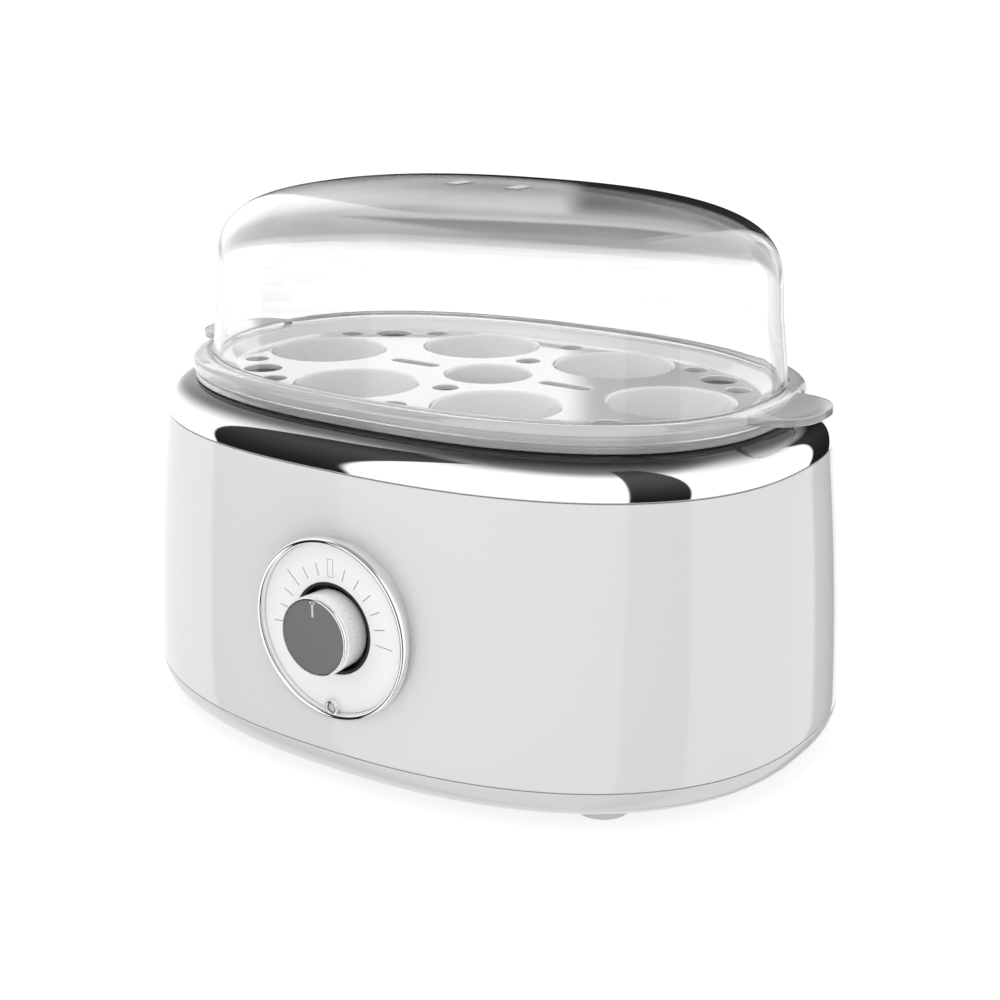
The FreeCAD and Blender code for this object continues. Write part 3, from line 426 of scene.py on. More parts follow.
def make_lid():
    """Clear dome, its rim with a pocket below, and a flat ear at each end."""
    def dome(distance, low, steps):
        shoulder_oval = inset(LID_OVAL, distance + LID_DRAFT * (LID_SHOULDER_Z - LID_BASE_Z))
        height = LID_TOP - distance - LID_SHOULDER_Z
        sections = []
        for i in range(7):
            z = low + (LID_SHOULDER_Z - low) * i / 7
            sections.append((inset(LID_OVAL, distance + LID_DRAFT * (z - LID_BASE_Z)), z))
        for i in range(1, steps):
            share = 1 - (1 - i / steps) ** 1.25
            angle = math.pi / 2 * share
            scale = math.cos(angle) ** (2 / LID_ROUNDNESS)
            rise = math.sin(angle) ** (2 / LID_ROUNDNESS)
            oval = (shoulder_oval[0] * scale, shoulder_oval[1] * scale, shoulder_oval[2])
            sections.append((oval, LID_SHOULDER_Z + height * rise))
        return sections

    def eared(oval, z, ear_z, ear_inset=0.0):
        """Oval loop whose points at the two ends go out round the ears."""
        points = loop(oval, z, LID_ANGLES)
        for sign in (-1, 1):
            ids = [i for i, p in enumerate(points)
                   if sign * p[0] > 0 and abs(p[1]) < EAR_HALF_WIDTH]
            ids.sort(key=lambda i: points[i][1])
            root = RIM_OVAL[0] - 3.0
            for k, i in enumerate(ids):
                angle = math.radians(87.0) * (2 * k / (len(ids) - 1) - 1)
                c = math.cos(angle)
                s = math.sin(angle)
                x = root + (EAR_TIP - root - ear_inset) * abs(c) ** 0.8
                y = (EAR_HALF_WIDTH - ear_inset) * math.copysign(abs(s) ** 0.8, s)
                points[i] = (sign * x, y, ear_z)
        return points

    outer = dome(0.0, LID_BASE_Z + 0.25, 34)
    inner = dome(LID_WALL, CARRIER_TOP, 34)
    loops = [loop(oval, z, LID_ANGLES) for oval, z in outer[::-1]]
    rim = inset(RIM_OVAL, -0.3)
    loops.append(loop(inset(LID_OVAL, -0.25), LID_BASE_Z, LID_ANGLES))
    for d, z in ((2.5, 117.8), (1.6, 117.55)):
        loops.append(loop(inset(rim, d), z, LID_ANGLES))
    loops.append(loop(inset(rim, 0.75), 117.0, LID_ANGLES))
    loops.append(eared(inset(rim, 0.45), 116.65, 117.0, 0.3))
    loops.append(eared(inset(rim, 0.12), 116.2, 116.7))
    loops.append(eared(rim, 115.8, 114.8))
    loops.append(eared(rim, 115.0, 114.5, 0.3))
    loops.append(loop(rim, 114.5, LID_ANGLES))
    for d, rise in ((0.0, 0.3), (0.1, 0.1), (0.3, 0.0), (4.0, 0.0), (4.2, 0.2)):
        loops.append(loop(inset(rim, d), LID_FOOT + rise, LID_ANGLES))
    loops.append(loop(inset(rim, 4.2), CARRIER_TOP, LID_ANGLES))
    loops += [loop(oval, z, LID_ANGLES) for oval, z in inner]
    builder = Builder()
    rows = builder.strip(loops)
    builder.cap(rows[0])
    builder.cap(rows[-1])
    lid = builder.make("lid_shell", sharp=40.0)
    vents = Builder()
    half_x = VENT_SIZE[0] / 2
    half_y = VENT_SIZE[1] / 2
    for x in (-VENT_X, VENT_X):
        vents.box((x - half_x, -half_y, LID_TOP - 8), (x + half_x, half_y, LID_TOP + 3))
    cut(lid, vents.make("vent_boxes"))
    return lid


def make_carrier():
    corners = [(0, 110.0, 0.35), (0, 112.2, 0.35), (4.6, 112.2, 0.3), (4.6, 114.1, 0.4),
               (6.4, 114.1, 0.4), (6.4, 112.2, 0.3), (8.6, 112.2, 0.4), (8.6, 108.2, 0.4),
               (6.8, 108.2, 0.4), (6.8, 110.0, 0.3)]
    outline = rounded(corners, 3)
    return ring_shell("carrier_frame", [(inset(RIM_OVAL, d), z) for d, z in outline])


def make_plate():
    """Plate with its raised border, seven cups, the steam holes and two slots."""
    builder = Builder()
    top_holes = []
    bottom_holes = []

    def opening(top, bottom, wall):
        top_holes.append(top)
        bottom_holes.append(bottom)
        builder.strip([top] + wall + [bottom])

    def cup(x, y, radius, depth, taper, count=96):
        slope = taper / depth
        foot = PLATE_TOP - depth
        wall = []
        start = radius + 0.85
        for i in range(1, 6):
            t = i / 5
            r = start * (1 - t) ** 2 + 2 * t * (1 - t) * radius + t * t * (radius - slope * 1.3)
            wall.append(circle(x, y, r, PLATE_TOP - 1.3 * t * t, count))
        inner = radius - taper
        for r, z in ((inner, foot + 0.5), (inner + 0.15, foot + 0.12), (inner + 0.5, foot),
                     (inner + 1.1, foot), (inner + 1.5, foot + 0.2), (inner + 1.7, foot + 0.7)):
            wall.append(circle(x, y, r, z, count))
        outer = radius + 1.6 - slope * (PLATE_TOP - PLATE_BOTTOM)
        opening(circle(x, y, start, PLATE_TOP, count),
                circle(x, y, outer, PLATE_BOTTOM, count), wall)

    def soft_edge(shape):
        """Small hole: shape(grow, z) gives its outline."""
        levels = ((0.30, -0.02), (0.12, -0.10), (0.02, -0.25), (0.0, -0.4))
        wall = [shape(g, PLATE_TOP + dz) for g, dz in levels]
        wall.append(shape(0.0, PLATE_BOTTOM + 0.2))
        opening(shape(0.42, PLATE_TOP), shape(0.15, PLATE_BOTTOM), wall)

    def slot_outline(sign, grow, z):
        points = []
        near, far, half_width = SLOT
        half = half_width + grow
        for end, turn in ((far - half_width, -90), (near + half_width, 90)):
            for k in range(13):
                angle = math.radians(turn + 15 * k)
                points.append((sign * (end + half * math.cos(angle)), half * math.sin(angle), z))
        return points

    places = [(-CUP_X[0], 0), (CUP_X[0], 0)]
    places += [(a * CUP_X[1], b * CUP_Y) for a in (-1, 1) for b in (-1, 1)]
    for x, y in places:
        cup(x, y, CUP_RADIUS, CUP_DEPTH, CUP_TAPER)
    cup(0, 0, *MIDDLE_CUP)
    for x, y, radius in CORNER_HOLES:
        for a in (-1, 1):
            for b in (-1, 1):
                soft_edge(lambda g, z, a=a, b=b, x=x, y=y, r=radius:
                          circle(a * x, b * y, r + g, z, 48))
    for y in AXIS_HOLES_Y:
        soft_edge(lambda g, z, y=y: circle(0, y, AXIS_HOLE_RADIUS + g, z, 48))
    for sign in (-1, 1):
        soft_edge(lambda g, z, sign=sign: slot_outline(sign, g, z))
    top_edge = inset(PLATE_OVAL, 0.6)
    crest = inset(RIM_OVAL, 9.4)
    border = [(top_edge, PLATE_TOP), (inset(PLATE_OVAL, 0.3), PLATE_TOP + 0.05),
              (blend(PLATE_OVAL, crest, 0.12), PLATE_TOP + 0.3),
              (blend(PLATE_OVAL, crest, 0.9), 115.4), (inset(RIM_OVAL, 9.0), 115.62),
              (inset(RIM_OVAL, 8.4), 115.7), (inset(RIM_OVAL, 5.0), 115.7),
              (inset(RIM_OVAL, 4.62), 115.58), (inset(RIM_OVAL, 4.5), 115.3),
              (inset(RIM_OVAL, 4.5), 114.3), (inset(RIM_OVAL, 4.7), 114.1),
              (blend(PLATE_OVAL, inset(RIM_OVAL, 7.8), 0.644), 114.1),
              (PLATE_OVAL, PLATE_BOTTOM)]
    builder.strip([loop(oval, z) for oval, z in border])
    builder.fill([loop(top_edge, PLATE_TOP)] + top_holes)
    builder.fill([loop(PLATE_OVAL, PLATE_BOTTOM)] + bottom_holes)
    plate = builder.make("cup_plate", sharp=50.0, merge=0.005)
    weighted = plate.modifiers.new("flat_faces", "WEIGHTED_NORMAL")
    weighted.keep_sharp = True
    return plate


# ---- dial and knob ------------------------------------------------------------------------
def make_bezel():
    """Polished ring of half-round section, undercut behind, with the arch over the lamp."""
    front = BEZEL_FRONT_Y
    foot = front + BEZEL_DEPTH
    crest = 27.8

    def behind(x, z):
        return max(wall_y(x, z) - 0.12, foot + 0.05)

    outline = [(BEZEL_INNER, behind), (BEZEL_NECK_RADIUS, behind), (BEZEL_NECK_RADIUS, foot),
               (BEZEL_RADIUS - 0.15, foot), (BEZEL_RADIUS, foot - 0.15)]
    for k in range(1, 13):
        angle = math.radians(7.5 * k)
        outline.append((crest + (BEZEL_RADIUS - crest) * math.cos(angle),
                        front + (BEZEL_DEPTH - 0.15) * (1 - math.sin(angle))))
    for k in range(1, 10):
        angle = math.radians(10 * k)
        outline.append((BEZEL_INNER + (crest - BEZEL_INNER) * (1 - math.sin(angle)),
                        front + 1.8 * (1 - math.cos(angle))))
    outline.append((BEZEL_INNER, DIAL_FACE_Y + 0.3))
    builder = Builder()
    dial_ring(builder, outline)
    arch = rounded([(LENS_RADIUS + 0.1, DIAL_FACE_Y, 0.0), (LENS_RADIUS + 0.1, front + 0.6, 0.3),
                    (ARCH_RADIUS, front + 0.6, 0.35), (ARCH_RADIUS, DIAL_FACE_Y, 0.0)])
    dial_ring(builder, arch, count=40, z=DIAL_Z - LENS_DROP)
    return builder.make("dial_bezel", sharp=45.0)


def make_dial_face():
    front = DIAL_FACE_Y
    outline = rounded([(WELL_RADIUS + 0.1, DIAL_PLATE_Y, 0), (WELL_RADIUS + 0.1, front, 0.35),
                       (26.6, front, 0.05), (26.6, DIAL_PLATE_Y, 0)])
    builder = Builder()
    dial_ring(builder, outline)
    face = builder.make("dial_disc")
    hole = Builder()
    dial_disc(hole, [(LENS_RADIUS + 0.1, -95.0), (LENS_RADIUS + 0.1, -80.0)], count=40,
              z=DIAL_Z - LENS_DROP)
    cut(face, hole.make("lens_hole"))
    return face


def dial_bar(builder, angle, inner, outer, width, y0, y1, aside=0.0):
    """Thin radial bar on the dial, angle in degrees from +X."""
    c = math.cos(math.radians(angle))
    s = math.sin(math.radians(angle))
    corners = []
    for r, w in ((inner, -width / 2), (outer, -width / 2), (outer, width / 2), (inner, width / 2)):
        corners.append((DIAL_X + r * c - (w + aside) * s, DIAL_Z + r * s + (w + aside) * c))
    rows = builder.strip([[(x, y, z) for x, z in corners] for y in (y0, y1)])
    builder.faces.append(tuple(rows[0]))
    builder.faces.append(tuple(rows[1]))


def make_dial_marks():
    builder = Builder()
    front = DIAL_FACE_Y - 0.03
    back = DIAL_FACE_Y + 0.05
    for k in range(TICKS):
        angle = 90 - DIAL_SWEEP / 2 + DIAL_SWEEP / (TICKS - 1) * k
        if k == TICKS // 2:
            for aside in (-1.0, 1.0):
                dial_bar(builder, angle, 16.4, 22.0, 0.14, front, back, aside)
            for radius in (16.4, 22.0):
                dial_bar(builder, angle, radius - 0.07, radius + 0.07, 2.1, front, back)
            continue
        outer = 23.0 if k in (0, 9, 12) else 20.5
        dial_bar(builder, angle, 16.6, outer, 0.26, front, back)
    return builder.make("dial_marks")


def make_knob():
    edge = KNOB_FRONT_Y + KNOB_RING_DEPTH
    drum = Builder()
    dial_ring(drum, rounded([(KNOB_RADIUS - 0.3, KNOB_BACK_Y, 0.3), (KNOB_RADIUS, edge, 0.0),
                             (KNOB_RADIUS - 0.85, edge, 0.0),
                             (KNOB_RADIUS - 0.85, edge + 1.2, 0.0),
                             (5.6, edge + 1.2, 0.0), (5.6, edge + 3.6, 0.0),
                             (KNOB_RADIUS - 2, edge + 3.6, 0.0),
                             (KNOB_RADIUS - 2, KNOB_BACK_Y, 0.2)]))
    rim = Builder()
    outline = []
    for k in range(9):
        angle = math.radians(90 * k / 8)
        outline.append((KNOB_RADIUS - 0.6 * (1 - math.cos(angle)),
                        edge - KNOB_RING_DEPTH * math.sin(angle)))
    outline += [(KNOB_RADIUS - 0.7, KNOB_FRONT_Y), (KNOB_RADIUS - 0.8, KNOB_FRONT_Y + 0.12),
                (KNOB_RADIUS - 0.8, edge)]
    dial_ring(rim, outline)
    disc = Builder()
    front = KNOB_FRONT_Y + 0.2
    r = KNOB_RADIUS - 0.85
    dial_disc(disc, [(r, edge + 1.1), (r, front + 0.12), (r - 0.05, front + 0.03),
                     (r - 0.15, front)])
    line = Builder()
    dial_bar(line, 90, 6.4, 10.9, 0.75, KNOB_FRONT_Y + 0.16, KNOB_FRONT_Y + 0.3)
    dial_bar(line, 90, 10.5, 11.2, 1.9, KNOB_FRONT_Y + 0.16, KNOB_FRONT_Y + 0.3)
    marks = Builder()
    for k in range(7):
        angle = math.radians(60 - 13.5 * k)
        radial = Vector((math.cos(angle), 0, math.sin(angle)))
        side = Vector((-math.sin(angle), 0, math.cos(angle)))
        middle = Vector((DIAL_X, 0, DIAL_Z))
        rows = []
        for lift in (-0.4, -0.08):
            row = []
            for y, w in ((-93.0, -0.11), (-91.3, -0.11), (-91.3, 0.11), (-93.0, 0.11)):
                p = middle + radial * (KNOB_RADIUS + lift) + side * w
                row.append((p.x, y, p.z))
            rows.append(row)
        ids = marks.strip(rows)
        marks.faces.append(tuple(ids[0]))
        marks.faces.append(tuple(ids[1]))
    return (drum.make("knob_drum"), rim.make("knob_rim", sharp=50.0), disc.make("knob_disc"),
            line.make("knob_line"), marks.make("knob_marks"))


def make_lamp():
    builder = Builder()
    profile = [(LENS_RADIUS, DIAL_PLATE_Y), (LENS_RADIUS, BEZEL_FRONT_Y + 1.6)]
    for k in range(1, 8):
        angle = math.radians(90 * k / 8)
        profile.append((LENS_RADIUS * math.cos(angle),
                        BEZEL_FRONT_Y + 1.6 - 0.9 * math.sin(angle)))
    dial_disc(builder, profile, count=40, z=DIAL_Z - LENS_DROP)
    return builder.make("lamp_window", sharp=50.0)


# ---- materials ------------------------------------------------------------------------------
def new_material(name):
    material = bpy.data.materials.new(name)
    material.use_nodes = True
    nodes = material.node_tree.nodes
    shader = nodes["Principled BSDF"]
    return material, nodes, material.node_tree.links, shader


def noise(nodes, links, scale, detail=3.0, stretch=(1, 1, 1), roughness=0.5):
    place = nodes.new("ShaderNodeTexCoord")
    mapping = nodes.new("ShaderNodeMapping")
    mapping.inputs["Scale"].default_value = stretch
    texture = nodes.new("ShaderNodeTexNoise")
    texture.inputs["Scale"].default_value = scale
    texture.inputs["Detail"].default_value = detail
    texture.inputs["Roughness"].default_value = roughness
    links.new(place.outputs["Object"], mapping.inputs["Vector"])
    links.new(mapping.outputs["Vector"], texture.inputs["Vector"])
    return texture.outputs["Fac"]


def ranged(nodes, links, value, low, high):
    node = nodes.new("ShaderNodeMapRange")
    node.inputs["From Min"].default_value = 0.3
    node.inputs["From Max"].default_value = 0.7
    node.inputs["To Min"].default_value = low
    node.inputs["To Max"].default_value = high
    links.new(value, node.inputs["Value"])
    return node.outputs["Result"]


def tinted(nodes, links, value, low, high):
    node = nodes.new("ShaderNodeMix")
    node.data_type = "RGBA"
    node.inputs["A"].default_value = (*low, 1)
    node.inputs["B"].default_value = (*high, 1)
    links.new(ranged(nodes, links, value, 0.0, 1.0), node.inputs["Factor"])
    return node.outputs["Result"]


def risen(nodes, links, low, high):
    """0 below the height low, 1 above high, smooth between."""
    place = nodes.new("ShaderNodeTexCoord")
    split = nodes.new("ShaderNodeSeparateXYZ")
    node = nodes.new("ShaderNodeMapRange")
    node.interpolation_type = "SMOOTHSTEP"
    node.inputs["From Min"].default_value = low * MM
    node.inputs["From Max"].default_value = high * MM
    links.new(place.outputs["Object"], split.inputs["Vector"])
    links.new(split.outputs["Z"], node.inputs["Value"])
    return node.outputs["Result"]


def bumped(nodes, links, shader, value, strength, distance):
    node = nodes.new("ShaderNodeBump")
    node.inputs["Strength"].default_value = strength
    node.inputs["Distance"].default_value = distance
    links.new(value, node.inputs["Height"])
    links.new(node.outputs["Normal"], shader.inputs["Normal"])


def shades(colour, spread):
    return (tuple(max(0.0, c * (1 - spread)) for c in colour),
            tuple(min(1.0, c * (1 + spread)) for c in colour))


def plastic(name, colour, rough=(0.1, 0.16), spread=0.012, grain=900.0, bump=0.02,
            depth=0.00005, coat=0.0):
    """Moulded plastic: faint shade variation, uneven gloss and a fine skin texture."""
    material, nodes, links, shader = new_material(name)
    low, high = shades(colour, spread)
    links.new(tinted(nodes, links, noise(nodes, links, 14.0, 4.0), low, high),
              shader.inputs["Base Color"])
    links.new(ranged(nodes, links, noise(nodes, links, 60.0, 5.0), *rough),
              shader.inputs["Roughness"])
    bumped(nodes, links, shader, noise(nodes, links, grain, 2.0), bump, depth)
    shader.inputs["Coat Weight"].default_value = coat
    shader.inputs["Coat Roughness"].default_value = 0.05
    return material


def metal(name, colour, rough=(0.2, 0.3), stretch=(1, 1, 1), grain=300.0, bump=0.05,
          depth=0.00005, spread=0.04, painted_shade_heights=None):
    """Metal: uneven roughness, with a brushed grain where stretch is set. The last argument gives
    the heights between which its upper edge turns dark: a painted shade, standing in for the shade
    under a rim."""
    material, nodes, links, shader = new_material(name)
    low, high = shades(colour, spread)
    grained = noise(nodes, links, grain, 3.0, stretch)
    tint = tinted(nodes, links, grained, low, high)
    if painted_shade_heights:
        # painted shade: between the given heights the colour is mixed towards dark grey
        shadow = nodes.new("ShaderNodeMix")
        shadow.data_type = "RGBA"
        shadow.inputs["B"].default_value = (0.1, 0.1, 0.1, 1)
        links.new(risen(nodes, links, *painted_shade_heights), shadow.inputs["Factor"])
        links.new(tint, shadow.inputs["A"])
        tint = shadow.outputs["Result"]
    links.new(tint, shader.inputs["Base Color"])
    links.new(ranged(nodes, links, noise(nodes, links, 40.0, 4.0), *rough),
              shader.inputs["Roughness"])
    bumped(nodes, links, shader, grained, bump, depth)
    shader.inputs["Metallic"].default_value = 1.0
    return material


def clear(name, colour=(0.985, 0.99, 0.99), rough=(0.0, 0.012), passing=1.0):
    """Clear polished plastic, its gloss broken by faint hazy patches; passing below 1 makes it
    milky."""
    material, nodes, links, shader = new_material(name)
    low, high = shades(colour, 0.004)
    links.new(tinted(nodes, links, noise(nodes, links, 9.0, 3.0), low, high),
              shader.inputs["Base Color"])
    links.new(ranged(nodes, links, noise(nodes, links, 30.0, 4.0), *rough),
              shader.inputs["Roughness"])
    shader.inputs["IOR"].default_value = 1.49
    shader.inputs["Transmission Weight"].default_value = passing
    return material


MATERIALS = {
    "housing_plastic": plastic("housing_plastic", (0.62, 0.62, 0.623), (0.07, 0.1), 0.006),
    "base_plastic": plastic("base_plastic", (0.56, 0.56, 0.563), (0.16, 0.24), 0.008),
    "polished_chrome": metal("polished_chrome", (0.93, 0.93, 0.935), (0.015, 0.05),
                             bump=0.004, depth=0.00001, spread=0.004),
    "clear_plastic": clear("clear_plastic"),
    "plate_plastic": plastic("plate_plastic", (0.9, 0.9, 0.9), (0.05, 0.08), 0.006, coat=1.0),
    "dial_plastic": plastic("dial_plastic", (0.83, 0.83, 0.83), (0.22, 0.3), 0.008),
    "knob_plastic": plastic("knob_plastic", (0.66, 0.66, 0.665), (0.14, 0.2), 0.01),
    "knob_cap_dark": plastic("knob_cap_dark", (0.14, 0.14, 0.14), (0.5, 0.6), 0.02),
    "pointer_white": plastic("pointer_white", (0.55, 0.55, 0.55), (0.3, 0.4), 0.01),
    "black_plastic": plastic("black_plastic", (0.012, 0.012, 0.012), (0.4, 0.5), 0.1),
    "lens_plastic": clear("lens_plastic", (0.85, 0.85, 0.87), (0.08, 0.14), passing=0.45),
    "dish_metal": metal("dish_metal", (0.62, 0.62, 0.625), (0.3, 0.4), (1, 14, 14), 120.0, 0.1),
    "silicone": plastic("silicone", (0.38, 0.38, 0.38), (0.5, 0.6), 0.03, 500.0, 0.1),
    "cast_aluminium": metal("cast_aluminium", (0.6, 0.6, 0.61), (0.45, 0.6), grain=700.0,
                            bump=0.35, depth=0.0002),
    "heater_sheath": metal("heater_sheath", (0.24, 0.21, 0.18), (0.35, 0.5), grain=90.0,
                           bump=0.15, spread=0.35),
    "shield_metal": metal("shield_metal", (0.65, 0.65, 0.66), (0.18, 0.3), (1, 20, 20), 90.0),
    "plated_steel": metal("plated_steel", (0.58, 0.57, 0.54), (0.2, 0.35), spread=0.08),
    "brass_parts": metal("brass_parts", (0.68, 0.47, 0.2), (0.2, 0.32), spread=0.08),
    "dark_resin": plastic("dark_resin", (0.035, 0.03, 0.026), (0.35, 0.5), 0.15, 600.0, 0.1),
    "board_laminate": plastic("board_laminate", (0.02, 0.14, 0.05), (0.25, 0.35), 0.2, 800.0),
    "relay_case": plastic("relay_case", (0.02, 0.06, 0.22), (0.2, 0.3), 0.06),
    "wire_sleeve": plastic("wire_sleeve", (0.6, 0.6, 0.57), (0.45, 0.6), 0.05, 1500.0, 0.4,
                           0.0002),
    "grey_rubber": plastic("grey_rubber", (0.5, 0.5, 0.5), (0.55, 0.7), 0.03, 1200.0, 0.2,
                           0.0001),
}
MILKY = clear("clear_rim", (0.97, 0.97, 0.97), (0.05, 0.09), passing=0.8)
# polished chrome cover with a painted shade: its upper edge, under the rim, is painted dark grey
# between 104.8 and 108.6 mm
COVER_CHROME_PAINTED_SHADE = metal("cover_chrome_painted_shade", (0.93, 0.93, 0.935), (0.015, 0.05), bump=0.004,
                     depth=0.00001, spread=0.004, painted_shade_heights=(104.8, 108.6))
VENT_EDGE = clear("vent_edge", (0.95, 0.95, 0.95), (0.2, 0.3), passing=0.2)
PRINT_GREY = plastic("print_grey", (0.27, 0.27, 0.27), (0.35, 0.45), 0.03)
PRINT_PALE = plastic("print_pale", (0.42, 0.42, 0.42), (0.35, 0.45), 0.03)


# ---- assembly -----------------------------------------------------------------------------
def place(piece, body, slot, material=None, *nodes):
    piece.data.materials.clear()
    piece.data.materials.append(material or MATERIALS[slot])
    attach(piece, body)
    if nodes:
        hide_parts(*nodes)


for row in frame["record"]["subparts"]:
    holder = frame["nodes"].get(row["node"])
    if holder is not None:
        for part_slot in holder.material_slots:
            part_slot.material = MATERIALS[row["material_slot"]]

lid_shell = make_lid()
place(make_housing(), "base", "housing_plastic", None, "outer_housing")
place(make_cover(), "base", "polished_chrome", COVER_CHROME_PAINTED_SHADE, "chrome_cover")
place(make_base(), "base", "base_plastic", None, "base_pan")
place(lid_shell, "lid", "clear_plastic", None, "lid")
for material in (MILKY, VENT_EDGE):
    lid_shell.data.materials.append(material)
for face in lid_shell.data.polygons:
    x, y, z = (value / MM for value in face.center)
    y -= SHIFT_Y
    if z < LID_BASE_Z + 0.1:
        face.material_index = 1
    elif (z > LID_TOP - 10.0 and abs(x) < VENT_REACH[0] and abs(y) < VENT_REACH[1]
          and abs(face.normal.z) < 0.5):
        face.material_index = 2
carrier = make_carrier()
place(carrier, "egg_tray", "clear_plastic", MILKY, "tray_carrier")
place(make_plate(), "egg_tray", "plate_plastic", None, "egg_plate")
place(make_bezel(), "base", "polished_chrome", None, "bezel_ring")
place(make_dial_face(), "base", "dial_plastic", None, "dial_face")
place(make_dial_marks(), "base", "knob_cap_dark", PRINT_GREY)
place(make_lamp(), "base", "lens_plastic", None, "indicator_lens")
drum, knob_rim, knob_disc, knob_line, knob_marks = make_knob()
place(drum, "knob", "knob_plastic", None, "knob_body")
place(knob_rim, "knob", "polished_chrome", None, "knob_trim_ring")
place(knob_disc, "knob", "knob_cap_dark", None, "knob_cap")
place(knob_line, "knob", "pointer_white", None, "knob_pointer")
place(knob_marks, "knob", "knob_cap_dark", PRINT_PALE)

# lamp light reaches the plate through the clear parts
for shell in (lid_shell, carrier):
    shell.visible_shadow = False


# ---- studio -------------------------------------------------------------------------------
def floor_material():
    material, nodes, links, shader = new_material("studio_floor")
    nodes.remove(shader)
    out = nodes["Material Output"]
    paper = nodes.new("ShaderNodeBsdfDiffuse")
    paper.inputs["Color"].default_value = (0.92, 0.92, 0.92, 1)
    glow = nodes.new("ShaderNodeEmission")
    glow.inputs["Strength"].default_value = 1.08
    mix = nodes.new("ShaderNodeMixShader")
    mix.inputs["Fac"].default_value = 0.7
    links.new(paper.outputs["BSDF"], mix.inputs[1])
    links.new(glow.outputs["Emission"], mix.inputs[2])
    links.new(mix.outputs["Shader"], out.inputs["Surface"])
    return material


floor_mesh = bpy.data.meshes.new("studio_floor")
FLOOR_HALF = 60.0
floor_mesh.from_pydata([(-FLOOR_HALF, -FLOOR_HALF, 0), (FLOOR_HALF, -FLOOR_HALF, 0),
                        (FLOOR_HALF, FLOOR_HALF, 0), (-FLOOR_HALF, FLOOR_HALF, 0)],
                       [], [(0, 1, 2, 3)])
floor_mesh.materials.append(floor_material())
floor_mesh.materials[0].cycles.emission_sampling = "NONE"
floor = bpy.data.objects.new("studio_floor", floor_mesh)
floor.visible_glossy = False
floor.visible_transmission = False
bpy.context.scene.collection.objects.link(floor)

class Sky:
    """The studio as seen from the cooker: white all round, with dark panels in it."""

    def __init__(self, strength):
        world = bpy.data.worlds.new("studio")
        bpy.context.scene.world = world
        world.use_nodes = True
        world.cycles.sampling_method = "NONE"
        self.nodes = world.node_tree.nodes
        self.links = world.node_tree.links
        self.nodes["Background"].inputs["Strength"].default_value = strength
        coordinates = self.nodes.new("ShaderNodeTexCoord")
        split = self.nodes.new("ShaderNodeSeparateXYZ")
        self.links.new(coordinates.outputs["Generated"], split.inputs["Vector"])
        self.height = self.math("ARCSINE", split.outputs["Z"], 0.0, math.degrees(1.0))
        back = self.math("MULTIPLY", split.outputs["Y"], -1.0)
        turn = self.math("ARCTAN2", split.outputs["X"], back)
        bearing = self.math("MULTIPLY", turn, math.degrees(1.0))
        self.around = self.math("WRAP", bearing, 360.0, third=0.0)

    def math(self, operation, first, second, scale=None, third=0.0):
        node = self.nodes.new("ShaderNodeMath")
        node.operation = operation
        for socket, value in zip(node.inputs, (first, second, third)):
            if isinstance(value, (int, float)):
                socket.default_value = value
            else:
                self.links.new(value, socket)
        result = node.outputs["Value"]
        return self.math("MULTIPLY", result, scale) if scale else result

    def step(self, value, start, end):
        """0 below start, 1 above end, smooth between."""
        node = self.nodes.new("ShaderNodeMapRange")
        node.interpolation_type = "SMOOTHSTEP"
        node.inputs["From Min"].default_value = start
        node.inputs["From Max"].default_value = end
        self.links.new(value, node.inputs["Value"])
        return node.outputs["Result"]

    def panel(self, start, end, low, high, soft=0.7, soft_low=1.0, soft_high=4.0):
        """How much of a panel covers each direction; bearings run 0 to 360."""
        parts = [self.step(self.around, start - soft, start + soft),
                 self.math("SUBTRACT", 1.0, self.step(self.around, end - soft, end + soft)),
                 self.step(self.height, low - soft_low, low + soft_low),
                 self.math("SUBTRACT", 1.0,
                           self.step(self.height, high - soft_high, high + soft_high))]
        product = parts[0]
        for part in parts[1:]:
            product = self.math("MULTIPLY", product, part)
        return product

    def shade(self, colour, cover, grey):
        """Colour, with the covered directions turned to grey."""
        node = self.nodes.new("ShaderNodeMix")
        node.data_type = "RGBA"
        self.links.new(cover, node.inputs["Factor"])
        if isinstance(colour, tuple):
            node.inputs["A"].default_value = colour
        else:
            self.links.new(colour, node.inputs["A"])
        if isinstance(grey, float):
            node.inputs["B"].default_value = (grey, grey, grey, 1)
        else:
            self.links.new(grey, node.inputs["B"])
        return node.outputs["Result"]


SKY_STRENGTH = 1.12
sky = Sky(SKY_STRENGTH)
dark = sky.shade((0.012, 0.012, 0.012, 1), sky.step(sky.height, -15.0, 60.0), 0.075)
zenith = sky.step(sky.height, 48.0, 70.0)
reflected = sky.shade((1, 1, 1, 1), zenith, 0.3)
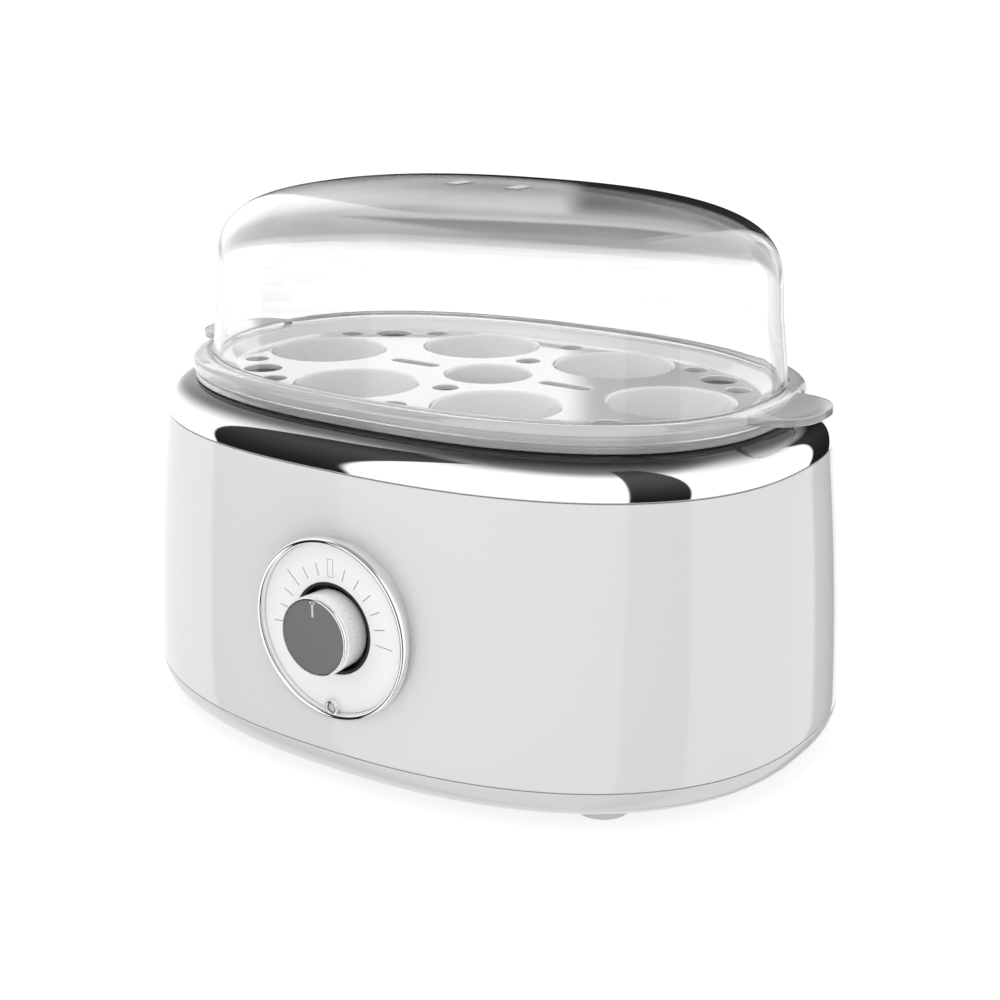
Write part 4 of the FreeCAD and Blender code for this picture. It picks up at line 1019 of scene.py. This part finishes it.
# dark panels in the gloss: from and to bearing, low and high, all in degrees
for start, end, low, high in ((289.5, 322.5, -95, 60), (46.0, 78.5, -95, 75),
                              (157.0, 182.0, -95, 24), (192.0, 226.0, -3, 34),
                              (194.0, 238.0, 41, 58)):
    reflected = sky.shade(reflected, sky.panel(start, end, low, high), dark)
through = sky.shade((1, 1, 1, 1), zenith, 0.3)
# what the clear parts show behind them, with each panel's grey last
for start, end, low, high, grey in ((190.0, 211.7, -1, 26, 0.02),
                                    (190.0, 240.0, 38, 60, 0.08)):
    through = sky.shade(through, sky.panel(start, end, low, high), grey)
# beyond the white table the room is dark
beyond = sky.panel(185.0, 245.0, -6.1, -1, soft=8.0, soft_low=1.2, soft_high=1.5)
through = sky.shade(through, beyond, 0.3)
path = sky.nodes.new("ShaderNodeLightPath")
seen = sky.shade((1, 1, 1, 1), path.outputs["Is Glossy Ray"], reflected)
seen = sky.shade(seen, path.outputs["Is Transmission Ray"], through)
sky.links.new(seen, sky.nodes["Background"].inputs["Color"])


def softbox(name, place_at, size, power):
    data = bpy.data.lights.new(name, "AREA")
    data.shape = "DISK"
    data.size = size
    data.energy = power
    lamp = bpy.data.objects.new(name, data)
    lamp.location = place_at
    aim = Vector((0, 0, 0.08)) - Vector(place_at)
    lamp.rotation_mode = "QUATERNION"
    lamp.rotation_quaternion = aim.to_track_quat("-Z", "Y")
    lamp.visible_glossy = False
    lamp.visible_camera = False
    lamp.visible_transmission = False
    bpy.context.scene.collection.objects.link(lamp)


softbox("top_softbox", (-0.25, -0.3, 1.9), 1.5, 14.0)

camera_data = bpy.data.cameras.new("camera")
camera_data.lens = 61.48
camera_data.sensor_width = 36.0
camera_data.clip_end = 200.0
camera = bpy.data.objects.new("camera", camera_data)
bpy.context.scene.collection.objects.link(camera)
camera.location = (0.31574, -0.44977, 0.23950)
turn = math.radians(34.50)
tilt = math.radians(17.15)
gaze = Vector((-math.sin(turn) * math.cos(tilt), math.cos(turn) * math.cos(tilt), -math.sin(tilt)))
camera.rotation_mode = "QUATERNION"
camera.rotation_quaternion = gaze.to_track_quat("-Z", "Y")
bpy.context.scene.camera = camera
bpy.context.scene.view_settings.view_transform = "Standard"
